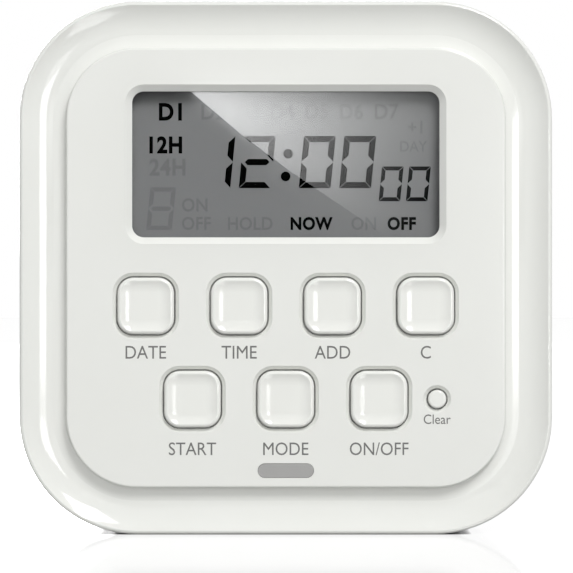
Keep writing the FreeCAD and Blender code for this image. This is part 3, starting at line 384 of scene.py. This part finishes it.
def inkFilm(name, colour, shine, roughness=0.55):
    # pad printed ink: matt, a little uneven in density; crystal takes the shine of what it lies in
    look = {"patchMm": 0.5, "patchSpread": 0.05, "ior": 1.5}
    material, tree = newMaterial(name)
    place = addNode(tree, "ShaderNodeTexCoord").outputs["Object"]
    patch = addNode(tree, "ShaderNodeTexNoise", None, {
        "Vector": place, "Scale": 1 / (look["patchMm"] * mm), "Detail": 2.0})
    density = addNode(tree, "ShaderNodeMapRange", None, {
        "Value": patch.outputs["Fac"], "To Min": 1 - look["patchSpread"],
        "To Max": 1 + look["patchSpread"]})
    tint = addNode(tree, "ShaderNodeHueSaturation", None, {
        "Color": toLinear(colour), "Value": density.outputs["Result"]})
    surface = addNode(tree, "ShaderNodeBsdfPrincipled", None, {
        "Base Color": tint.outputs["Color"], "Roughness": roughness, "IOR": look["ior"],
        "Specular IOR Level": shine})
    addNode(tree, "ShaderNodeOutputMaterial", None, {"Surface": surface.outputs["BSDF"]})
    return material


finishes = {slot: mouldedPlastic(slot, look) for slot, look in plasticLooks.items()}
finishes.update({slot: drawnMetal(slot, look) for slot, look in metalLooks.items()})
finishes["window_plastic"] = clearAcrylic()
finishes["lcd_glass"] = displayGlass()
finishes["zebra_rubber"] = rubberStrips()
finishes["board_laminate"] = boardLaminate()
finishes["part_lacquer"] = bandedLacquer()

for node, piece in frame["nodes"].items():
    piece.data.materials.clear()
    piece.data.materials.append(finishes[slotOf[node]])
print("finishes on", len(frame["nodes"]), "nodes")


# Prints: words under the buttons and on the display

printLook = {
    "deepMm": 0.03,          # thickness of the ink and of the crystal
    "narrow": 0.9,           # width of the letters against the font's own
    "boldSpace": 2.5,        # bold letters stand a little wider apart, by this times their weight
    "rounding": 4,           # steps in each curve of a letter
    "inkColour": "#70706E",
    "litColour": "#050505",
    "idleColour": "#747474",
}
buttonInk = inkFilm("button_ink", printLook["inkColour"], 0.25)
litInk = inkFilm("lit_crystal", printLook["litColour"], 0.0)
idleInk = inkFilm("idle_crystal", printLook["idleColour"], 0.7, 0.05)


def wordMesh(word, x, low, high, weight, y, fromLeft):
    # a word as a thin solid, from z low to high in mm, with its middle or its left end at x
    curve = bpy.data.curves.new("word", "FONT")
    curve.body = word
    curve.offset = weight
    curve.space_character = 1 + printLook["boldSpace"] * weight
    curve.extrude = printLook["deepMm"] / 2
    curve.resolution_u = printLook["rounding"]
    mesh = plainMesh(meshObject("word", curve), "word")
    xs = [v.co.x for v in mesh.vertices]
    ys = [v.co.y for v in mesh.vertices]
    tall = (high - low) / (max(ys) - min(ys))
    wide = tall * printLook["narrow"]
    anchor = min(xs) if fromLeft else (min(xs) + max(xs)) / 2
    for vertex in mesh.vertices:
        vertex.co = Vector(((x + (vertex.co.x - anchor) * wide) * mm,
                            y + vertex.co.z * mm,
                            (low + (vertex.co.y - min(ys)) * tall) * mm))
    solid = bmesh.new()
    solid.from_mesh(mesh)
    bmesh.ops.remove_doubles(solid, verts=solid.verts, dist=1e-7)
    bmesh.ops.recalc_face_normals(solid, faces=solid.faces)
    solid.to_mesh(mesh)
    solid.free()
    return mesh


def wordPiece(name, words, ink, y):
    meshes = [wordMesh(word, x, low, high, weight, y, fromLeft)
              for word, x, low, high, weight, fromLeft in words]
    piece = meshObject(name, joinedMesh(name, meshes))
    piece.data.materials.append(ink)
    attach(piece, "casing")


buttonWords = {
    # word, lower and upper edge in mm above the floor, weight
    "week_key": ("DATE", 23.94, 25.68, 0.0),
    "hour_key": ("TIME", 23.94, 25.68, 0.0),
    "minute_key": ("ADD", 23.94, 25.68, 0.0),
    "recall_key": ("C", 23.94, 25.68, 0.0),
    "clock_key": ("START", 10.8, 12.54, 0.0),
    "program_key": ("MODE", 10.8, 12.54, 0.0),
    "manual_key": ("ON/OFF", 10.8, 12.54, 0.0),
    "reset_button": ("Clear", 15.04, 16.35, 0.002),
}
lettering = []
for key, (word, low, high, weight) in buttonWords.items():
    keyLow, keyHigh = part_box(key)
    lettering.append((word, (keyLow.x + keyHigh.x) / 2 / mm, low, high, weight, False))
wordPiece("button_lettering", lettering, buttonInk, panelY)
print("lettering on the panel")


# Display: what stands on the glass, at places read on the panel and moved back along the view

pixelMm = 0.1361                # one pixel of the photograph on the panel
photoMiddle = (285.8, 267.8)    # pixel of the casing's middle


def onGlass(px, py):
    # pixel of the photograph to x, z in mm on the display glass
    x = (px - photoMiddle[0]) * pixelMm
    z = middleZ / mm - (py - photoMiddle[1]) * pixelMm
    grow = (glassY - cameraPlace.y) / (panelY - cameraPlace.y)
    return (cameraLook["acrossX"] + (x - cameraLook["acrossX"]) * grow,
            cameraLook["heightZ"] + (z - cameraLook["heightZ"]) * grow)


def glassWord(word, left, top, bottom, weight):
    x, low = onGlass(left, bottom)
    return word, x, low, onGlass(left, top)[1], weight, True


litWords = [
    glassWord("D1", 159.0, 103.2, 120.8, 0.038),
    glassWord("12H", 149.5, 136.4, 153.6, 0.038),
    glassWord("NOW", 290.5, 217.0, 230.2, 0.04),
    glassWord("OFF", 387.4, 217.0, 230.2, 0.04),
]
idleWords = [
    glassWord("24H", 149.5, 158.6, 175.8, 0.03),
    glassWord("ON", 182.0, 198.2, 211.8, 0.02),
    glassWord("OFF", 182.0, 216.8, 230.2, 0.02),
    glassWord("HOLD", 228.0, 217.0, 230.2, 0.02),
    glassWord("ON", 351.2, 217.0, 230.2, 0.02),
    glassWord("+1", 408.0, 120.9, 133.8, 0.02),
    glassWord("DAY", 400.0, 141.2, 151.8, 0.01),
]
dayRow = {"first": 201.5, "step": 34.6, "top": 103.8, "bottom": 119.8, "weight": 0.02}
for place, day in enumerate(range(2, 8)):
    idleWords.append(glassWord("D" + str(day), dayRow["first"] + place * dayRow["step"],
                               dayRow["top"], dayRow["bottom"], dayRow["weight"]))
wordPiece("display_words_lit", litWords, litInk, glassY)
wordPiece("display_words_idle", idleWords, idleInk, glassY)

digitShape = {
    # each bar of a digit: place in half widths and quarter heights, kind, turn in degrees
    "top": (0, 2, 0, 180), "bottom": (0, -2, 0, 0),
    "middleUpper": (0, 0, 2, 0), "middleLower": (0, 0, 2, 180),
    "upperLeft": (-1, 1, 1, -90), "lowerLeft": (-1, -1, 1, -90),
    "upperRight": (1, 1, 1, 90), "lowerRight": (1, -1, 1, 90),
}
digitBars = {
    "0": ["top", "bottom", "upperLeft", "lowerLeft", "upperRight", "lowerRight"],
    "1": ["upperRight", "lowerRight"],
    "2": ["top", "upperRight", "middleUpper", "middleLower", "lowerLeft", "bottom"],
    "8": list(digitShape),
}


def digitTree():
    # bars of a digit display: each point of the mesh is one bar, its attributes pick and turn it
    tree = bpy.data.node_groups.new("digit_bars", "GeometryNodeTree")
    ports = tree.interface
    ports.new_socket("Geometry", in_out="OUTPUT", socket_type="NodeSocketGeometry")
    ports.new_socket("Geometry", in_out="INPUT", socket_type="NodeSocketGeometry")
    for name in ("Width", "Height", "Stroke", "Gap", "Slant", "Thickness"):
        ports.new_socket(name, in_out="INPUT", socket_type="NodeSocketFloat")
    ports.new_socket("Ink", in_out="INPUT", socket_type="NodeSocketMaterial")
    given = addNode(tree, "NodeGroupInput").outputs
    sums = "ShaderNodeMath"
    twoGaps = addNode(tree, sums, {"operation": "MULTIPLY"}, {0: given["Gap"], 1: 2.0}).outputs[0]
    twoStrokes = addNode(tree, sums, {"operation": "MULTIPLY"}, {0: given["Stroke"], 1: 2.0}).outputs[0]
    halfStroke = addNode(tree, sums, {"operation": "MULTIPLY"}, {0: given["Stroke"], 1: 0.5}).outputs[0]
    across = addNode(tree, sums, {"operation": "SUBTRACT"}, {0: given["Width"], 1: twoGaps}).outputs[0]
    half = addNode(tree, sums, {"operation": "MULTIPLY"}, {0: given["Height"], 1: 0.5}).outputs[0]
    along = addNode(tree, sums, {"operation": "SUBTRACT"}, {0: half, 1: twoGaps}).outputs[0]
    middle = addNode(tree, sums, {"operation": "SUBTRACT"}, {0: across, 1: given["Stroke"]}).outputs[0]
    bars = addNode(tree, "GeometryNodeJoinGeometry")
    shapes = ((middle, halfStroke, given["Stroke"]), (along, given["Stroke"], twoStrokes),
              (across, given["Stroke"], twoStrokes))
    for longSide, deep, less in shapes:      # joined last first, so that kind 0 is the bar across
        shortSide = addNode(tree, sums, {"operation": "SUBTRACT"}, {0: longSide, 1: less}).outputs[0]
        outline = addNode(tree, "GeometryNodeCurvePrimitiveQuadrilateral", {"mode": "TRAPEZOID"}, {
            "Height": deep, "Bottom Width": longSide, "Top Width": shortSide, "Offset": 0.0})
        lift = addNode(tree, sums, {"operation": "MULTIPLY"}, {0: deep, 1: 0.5}).outputs[0]
        inward = addNode(tree, "ShaderNodeCombineXYZ", None, {"Y": lift})
        moved = addNode(tree, "GeometryNodeTransform", None, {
            "Geometry": addNode(tree, "GeometryNodeFillCurve", None, {
                "Curve": outline.outputs["Curve"]}).outputs["Mesh"],
            "Translation": inward.outputs["Vector"]})
        single = addNode(tree, "GeometryNodeGeometryToInstance", None, {
            "Geometry": moved.outputs["Geometry"]})
        tree.links.new(single.outputs[0], bars.inputs[0])
    kind = addNode(tree, "GeometryNodeInputNamedAttribute", {"data_type": "INT"}, {"Name": "kind"})
    turn = addNode(tree, "GeometryNodeInputNamedAttribute", {"data_type": "FLOAT"}, {"Name": "turn"})
    place = addNode(tree, "GeometryNodeInputNamedAttribute", {"data_type": "FLOAT_VECTOR"}, {
        "Name": "place"})
    turned = addNode(tree, "ShaderNodeCombineXYZ", None, {"Z": turn.outputs["Attribute"]})
    size = addNode(tree, "ShaderNodeCombineXYZ", None, {"X": given["Width"], "Y": given["Height"]})
    grid = addNode(tree, "GeometryNodeInputPosition")
    spread = addNode(tree, "ShaderNodeVectorMath", {"operation": "MULTIPLY"}, {
        0: grid.outputs["Position"], 1: size.outputs["Vector"]})
    put = addNode(tree, "ShaderNodeVectorMath", {"operation": "ADD"}, {
        0: spread.outputs["Vector"], 1: place.outputs["Attribute"]})
    points = addNode(tree, "GeometryNodeSetPosition", None, {
        "Geometry": given["Geometry"], "Position": put.outputs["Vector"]})
    placed = addNode(tree, "GeometryNodeInstanceOnPoints", None, {
        "Points": points.outputs["Geometry"], "Instance": bars.outputs["Geometry"],
        "Pick Instance": True, "Instance Index": kind.outputs["Attribute"],
        "Rotation": turned.outputs["Vector"]})
    real = addNode(tree, "GeometryNodeRealizeInstances", None, {
        "Geometry": placed.outputs["Instances"]})
    where = addNode(tree, "ShaderNodeSeparateXYZ", None, {
        "Vector": addNode(tree, "GeometryNodeInputPosition").outputs["Position"]})
    lean = addNode(tree, sums, {"operation": "MULTIPLY"}, {0: where.outputs["Y"], 1: given["Slant"]})
    leaned = addNode(tree, "ShaderNodeCombineXYZ", None, {"X": lean.outputs[0]})
    leaning = addNode(tree, "GeometryNodeSetPosition", None, {
        "Geometry": real.outputs["Geometry"], "Offset": leaned.outputs["Vector"]})
    merged = addNode(tree, "GeometryNodeMergeByDistance", None, {
        "Geometry": leaning.outputs["Geometry"], "Distance": 1e-6})
    raised = addNode(tree, "GeometryNodeExtrudeMesh", {"mode": "FACES"}, {
        "Mesh": merged.outputs["Geometry"], "Offset Scale": given["Thickness"], "Individual": False})
    under = addNode(tree, "GeometryNodeFlipFaces", None, {"Mesh": merged.outputs["Geometry"]})
    both = addNode(tree, "GeometryNodeJoinGeometry")
    tree.links.new(raised.outputs["Mesh"], both.inputs[0])
    tree.links.new(under.outputs["Mesh"], both.inputs[0])
    closed = addNode(tree, "GeometryNodeMergeByDistance", None, {
        "Geometry": both.outputs["Geometry"], "Distance": 1e-6})
    plain = addNode(tree, "GeometryNodeRealizeInstances", None, {
        "Geometry": closed.outputs["Geometry"]})
    inked = addNode(tree, "GeometryNodeSetMaterial", None, {
        "Geometry": plain.outputs["Geometry"], "Material": given["Ink"]})
    addNode(tree, "NodeGroupOutput", None, {"Geometry": inked.outputs["Geometry"]})
    return tree


def setInputs(modifier, values):
    for item in modifier.node_group.interface.items_tree:
        if item.in_out == "INPUT" and item.name in values:
            modifier[item.identifier] = values[item.name]


def digitMesh(digits, look, ink):
    # digits are (figure, x, z) in mm: the middle of the figure, before it leans
    points, kinds, turns, places = [], [], [], []
    base = digits[0][2]
    for figure, x, z in digits:
        for bar in digitBars[figure]:
            halfWidths, quarterHeights, kind, degrees = digitShape[bar]
            points.append((halfWidths / 2, quarterHeights / 4, 0))
            kinds.append(kind)
            turns.append(math.radians(degrees))
            places.append((x, z - base, 0))
    mesh = bpy.data.meshes.new("bars")
    mesh.from_pydata(points, [], [])
    mesh.attributes.new("kind", "INT", "POINT").data.foreach_set("value", kinds)
    mesh.attributes.new("turn", "FLOAT", "POINT").data.foreach_set("value", turns)
    mesh.attributes.new("place", "FLOAT_VECTOR", "POINT").data.foreach_set(
        "vector", [value for place in places for value in place])
    carrier = meshObject("bars", mesh)
    modifier = carrier.modifiers.new("bars", "NODES")
    modifier.node_group = barTree
    setInputs(modifier, {
        "Width": look["width"], "Height": look["height"], "Stroke": look["stroke"],
        "Gap": look["gap"], "Slant": look["slant"], "Thickness": printLook["deepMm"], "Ink": ink})
    made = plainMesh(carrier, "digits")
    upright = Matrix(((mm, 0, 0, 0), (0, 0, -mm, glassY), (0, mm, 0, base * mm), (0, 0, 0, 1)))
    made.transform(upright)
    return made


def dotMesh(x, z):
    radius = colonLook["radius"] * mm
    dot = bmesh.new()
    bmesh.ops.create_cone(dot, cap_ends=True, segments=colonLook["sides"], radius1=radius,
                          radius2=radius, depth=printLook["deepMm"] * mm)
    bmesh.ops.rotate(dot, verts=dot.verts, matrix=Matrix.Rotation(math.pi / 2, 3, "X"))
    bmesh.ops.translate(dot, verts=dot.verts,
                        vec=(x * mm, glassY - printLook["deepMm"] * mm / 2, z * mm))
    mesh = bpy.data.meshes.new("dot")
    dot.to_mesh(mesh)
    dot.free()
    return mesh


barTree = digitTree()
# mm; slant is how far a bar leans over for each mm of its height
bigDigits = {"width": 4.35, "height": 7.13, "stroke": 0.84, "gap": 0.05, "slant": 0.1}
smallDigits = {"width": 2.95, "height": 4.75, "stroke": 0.54, "gap": 0.05, "slant": 0.1}
idleDigit = {"width": 3.5, "height": 5.84, "stroke": 0.6, "gap": 0.05, "slant": 0.1}
# places in pixels, radius in mm
colonLook = {"dots": ((288.1, 153.9), (285.6, 176.5)), "radius": 0.66, "sides": 40}


def figureAt(figure, left, right, top, bottom):
    x, z = onGlass((left + right) / 2, (top + bottom) / 2)
    return figure, x, z


bigRow = [figureAt("1", 200.4, 233.6, 136.0, 188.4), figureAt("2", 239.6, 274.8, 136.0, 188.4),
          figureAt("0", 299.6, 334.8, 136.0, 188.4), figureAt("0", 340.0, 375.2, 136.0, 188.4)]
smallRow = [figureAt("0", 379.2, 402.8, 166.5, 201.4), figureAt("0", 406.4, 430.0, 166.5, 201.4)]
litMeshes = [digitMesh(bigRow, bigDigits, litInk), digitMesh(smallRow, smallDigits, litInk)]
for px, py in colonLook["dots"]:
    litMeshes.append(dotMesh(*onGlass(px, py)))
digits = meshObject("display_digits", joinedMesh("display_digits", litMeshes))
digits.data.materials.append(litInk)
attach(digits, "casing")
idle = meshObject("display_digit_idle", joinedMesh("display_digit_idle", [
    digitMesh([figureAt("8", 147.8, 174.6, 187.3, 230.2)], idleDigit, idleInk)]))
idle.data.materials.append(idleInk)
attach(idle, "casing")
print("display drawn")


# Stage: glossy white floor, plain backdrop light, softboxes

stageLook = {
    "floorSide": 6.0,          # metres
    "mirror": 0.27,            # share of the floor's look that is its polish
    "polish": 0.06,            # roughness of that mirror
    "glow": 0.985,             # the rest: what is white without a lamp
    "albedo": 0.08,            # and what takes the object's shadow
    "bounce": 0.45,            # how light the floor is to the object
    "paintedContactShade": 0.8,             # mm, painted contact shade: how near a thing must stand to darken the glow
    "paintedContactShadeDark": 3.0,         # and how strongly it does
    "ambient": 0.22,           # world light on the object
}


def seenRays(tree, rays):
    # 1 for the camera's ray, also where metal mirrors it or a clear plate lets it through
    unscattered = addNode(tree, "ShaderNodeMath", {"operation": "LESS_THAN"}, {
        0: rays.outputs["Diffuse Depth"], 1: 0.5})
    turned = addNode(tree, "ShaderNodeMath", {"operation": "MAXIMUM"}, {
        0: rays.outputs["Is Transmission Ray"], 1: rays.outputs["Is Glossy Ray"]})
    clean = addNode(tree, "ShaderNodeMath", {"operation": "MULTIPLY"}, {
        0: turned.outputs[0], 1: unscattered.outputs[0]})
    return addNode(tree, "ShaderNodeMath", {"operation": "MAXIMUM"}, {
        0: rays.outputs["Is Camera Ray"], 1: clean.outputs[0]}).outputs[0]


def floorFinish():
    # white acrylic sheet: plain white from above, a faint clear mirror at a low angle; next to the
    # object its glow is darkened as painted contact shade
    material, tree = newMaterial("white_acrylic_floor")
    rays = addNode(tree, "ShaderNodeLightPath")
    lit = addNode(tree, "ShaderNodeBsdfDiffuse", None, {"Color": (stageLook["albedo"],) * 3 + (1,)})
    # painted contact shade: ambient occlusion darkens the floor's glow where the object stands close
    paintedContactShade = addNode(tree, "ShaderNodeAmbientOcclusion", {"samples": 8}, {
        "Distance": stageLook["paintedContactShade"] * mm})
    paintedShadeFall = addNode(tree, "ShaderNodeMath", {"operation": "POWER"}, {
        0: paintedContactShade.outputs["AO"], 1: stageLook["paintedContactShadeDark"]})
    glowAfterPaintedShade = addNode(tree, "ShaderNodeMath", {"operation": "MULTIPLY"}, {
        0: paintedShadeFall.outputs[0], 1: stageLook["glow"]})
    glow = addNode(tree, "ShaderNodeEmission", None, {
        "Color": (1, 1, 1, 1), "Strength": glowAfterPaintedShade.outputs[0]})
    plain = addNode(tree, "ShaderNodeAddShader", None, {0: lit.outputs[0], 1: glow.outputs[0]})
    polish = addNode(tree, "ShaderNodeBsdfGlossy", None, {
        "Color": (1, 1, 1, 1), "Roughness": stageLook["polish"]})
    seen = addNode(tree, "ShaderNodeMixShader", None, {
        0: stageLook["mirror"], 1: plain.outputs[0], 2: polish.outputs[0]})
    dull = addNode(tree, "ShaderNodeBsdfDiffuse", None, {"Color": (stageLook["bounce"],) * 3 + (1,)})
    surface = addNode(tree, "ShaderNodeMixShader", None, {
        0: seenRays(tree, rays), 1: dull.outputs[0], 2: seen.outputs[0]})
    addNode(tree, "ShaderNodeOutputMaterial", None, {"Surface": surface.outputs[0]})
    return material


reach = stageLook["floorSide"] / 2
floorCorners = [(-reach, -reach, 0), (reach, -reach, 0), (reach, reach, 0), (-reach, reach, 0)]
floorMesh = bpy.data.meshes.new("floor")
floorMesh.from_pydata(floorCorners, [], [(0, 1, 2, 3)])
floorMesh.materials.append(floorFinish())
floor = meshObject("floor", floorMesh)


def studioWorld():
    world = bpy.data.worlds.new("studio")
    world.use_nodes = True
    tree = world.node_tree
    tree.nodes.clear()
    rays = addNode(tree, "ShaderNodeLightPath")
    soft = addNode(tree, "ShaderNodeBackground", None, {
        "Color": (1, 1, 1, 1), "Strength": stageLook["ambient"]})
    white = addNode(tree, "ShaderNodeBackground", None, {"Color": (1, 1, 1, 1), "Strength": 1.0})
    mixed = addNode(tree, "ShaderNodeMixShader", None, {
        0: seenRays(tree, rays), 1: soft.outputs[0], 2: white.outputs[0]})
    addNode(tree, "ShaderNodeOutputWorld", None, {"Surface": mixed.outputs[0]})
    bpy.context.scene.world = world


studioWorld()


def softbox(name, place, aim, width, height, watts):
    data = bpy.data.lights.new(name, "AREA")
    data.shape = "RECTANGLE"
    data.size = width
    data.size_y = height
    data.energy = watts
    lamp = bpy.data.objects.new(name, data)
    lamp.location = place
    lamp.rotation_euler = (Vector(aim) - Vector(place)).to_track_quat("-Z", "Y").to_euler()
    lamp.visible_transmission = False    # clear plates let its light through as shadow rays
    bpy.context.scene.collection.objects.link(lamp)
    return lamp


lampLook = {
    # place and aim, width and height, all in metres, and watts
    "key_softbox": ((0.42, -0.95, 0.95), (0, panelY, middleZ), 0.5, 0.5, 11.6),
    "front_softbox": ((-0.1, -1.3, 0.30), (0, panelY, middleZ), 0.8, 0.6, 5.0),
    "back_softbox": ((-0.2, 1.4, 0.25), (0, 0, middleZ), 0.6, 0.4, 14.0),    # for the plug's side
}
lamps = {name: softbox(name, *look) for name, look in lampLook.items()}
lamps["front_softbox"].visible_glossy = False    # it fills, the flat panel shows no image of it

glareLook = {
    "reach": 82.0,                    # mm on the card, over which it fades from its bright corner
    "taller": 1.25,                   # how much faster it fades downward than sideways
    "peak": 6.0, "curve": 1.85,       # brightness of the corner, and how the fade bends
    "spare": 3.0,                     # px, black cloth round what the window mirrors
    "ahead": 1.0,                     # mm, the lit card stands in front of the cloth
    # pixels of the lit card's outline as the window mirrors it, from its bright corner on
    "outline": ((190, 91), (242, 135), (290, 171), (395, 242), (445, 242), (445, 86), (186, 86)),
    "window": (128, 86, 444, 242),    # pixels: left, top, right and bottom of the bare window
}


def glareFinish(corner):
    # a lamp behind a slanted flag: brightest in one corner, fading away from it
    material, tree = newMaterial("glare_card")
    place = addNode(tree, "ShaderNodeTexCoord").outputs["Object"]
    apart = addNode(tree, "ShaderNodeVectorMath", {"operation": "SUBTRACT"}, {0: place, 1: corner})
    pulled = addNode(tree, "ShaderNodeVectorMath", {"operation": "MULTIPLY"}, {
        0: apart.outputs["Vector"], 1: (1, 1, glareLook["taller"])})
    away = addNode(tree, "ShaderNodeVectorMath", {"operation": "LENGTH"}, {
        0: pulled.outputs["Vector"]})
    near = addNode(tree, "ShaderNodeMapRange", None, {
        "Value": away.outputs["Value"], "From Min": 0.0, "From Max": glareLook["reach"] * mm,
        "To Min": 1.0, "To Max": 0.0})
    fade = addNode(tree, "ShaderNodeMath", {"operation": "POWER"}, {
        0: near.outputs[0], 1: glareLook["curve"]})
    bright = addNode(tree, "ShaderNodeMath", {"operation": "MULTIPLY"}, {
        0: fade.outputs[0], 1: glareLook["peak"]})
    mirrored = addNode(tree, "ShaderNodeMath", {"operation": "MULTIPLY"}, {
        0: bright.outputs[0], 1: seenRays(tree, addNode(tree, "ShaderNodeLightPath"))})
    surface = addNode(tree, "ShaderNodeEmission", None, {
        "Color": (1, 1, 1, 1), "Strength": mirrored.outputs[0]})
    addNode(tree, "ShaderNodeOutputMaterial", None, {"Surface": surface.outputs[0]})
    return material


def mirroredPoint(px, py):
    # where the window mirrors the camera's line through a pixel, at the camera's own distance
    x = (px - photoMiddle[0]) * pixelMm * mm
    z = middleZ - (py - photoMiddle[1]) * pixelMm * mm
    plate = windowLow.y
    scale = (plate - cameraPlace.y) / (panelY - cameraPlace.y)
    return (cameraPlace.x + 2 * (x - cameraPlace.x) * scale, cameraPlace.y,
            cameraPlace.z + 2 * (z - cameraPlace.z) * scale)


def mirroredCard(name, corners, finish):
    mesh = bpy.data.meshes.new(name)
    mesh.from_pydata(corners, [], [tuple(range(len(corners)))])
    mesh.materials.append(finish)
    card = meshObject(name, mesh)
    card.visible_camera = False
    card.visible_diffuse = False
    card.visible_shadow = False


# Tall lamp on the right that the rim mirrors as a thin bright line, with a slanted top
stripLook = {
    "peak": 9.0,
    "back": -0.58,                      # metres in front of the wall side
    "near": 0.080, "far": 0.235,        # metres to the right, beyond what the flat panel mirrors
    "foot": 0.002, "topNear": 0.098, "topFar": 0.088,
}


def stripFinish():
    # plain lamp behind a thin white diffuser
    material, tree = newMaterial("strip_card")
    bright = addNode(tree, "ShaderNodeMath", {"operation": "MULTIPLY"}, {
        0: stripLook["peak"], 1: seenRays(tree, addNode(tree, "ShaderNodeLightPath"))})
    surface = addNode(tree, "ShaderNodeEmission", None, {
        "Color": (1, 1, 1, 1), "Strength": bright.outputs[0]})
    addNode(tree, "ShaderNodeOutputMaterial", None, {"Surface": surface.outputs[0]})
    return material


def blackCloth():
    # black velvet: next to nothing comes back from it
    material, tree = newMaterial("black_cloth")
    surface = addNode(tree, "ShaderNodeBsdfDiffuse", None, {"Color": (0.004, 0.004, 0.004, 1)})
    addNode(tree, "ShaderNodeOutputMaterial", None, {"Surface": surface.outputs[0]})
    return material


litCorners = [mirroredPoint(px, py) for px, py in glareLook["outline"]]
mirroredCard("glare_card", litCorners, glareFinish(litCorners[0]))
left, top, right, bottom = glareLook["window"]
spare = glareLook["spare"]
clothPixels = ((left - spare, bottom + spare), (right + spare, bottom + spare),
               (right + spare, top - spare), (left - spare, top - spare))
clothCorners = [mirroredPoint(px, py) for px, py in clothPixels]
ahead = glareLook["ahead"] * mm
mirroredCard("black_flag", [(x, y - ahead, z) for x, y, z in clothCorners], blackCloth())
near, far, back = stripLook["near"], stripLook["far"], stripLook["back"]
mirroredCard("strip_card", [
    (near, back, stripLook["foot"]), (far, back, stripLook["foot"]),
    (far, back, stripLook["topFar"]), (near, back, stripLook["topNear"])], stripFinish())
print("stage set")
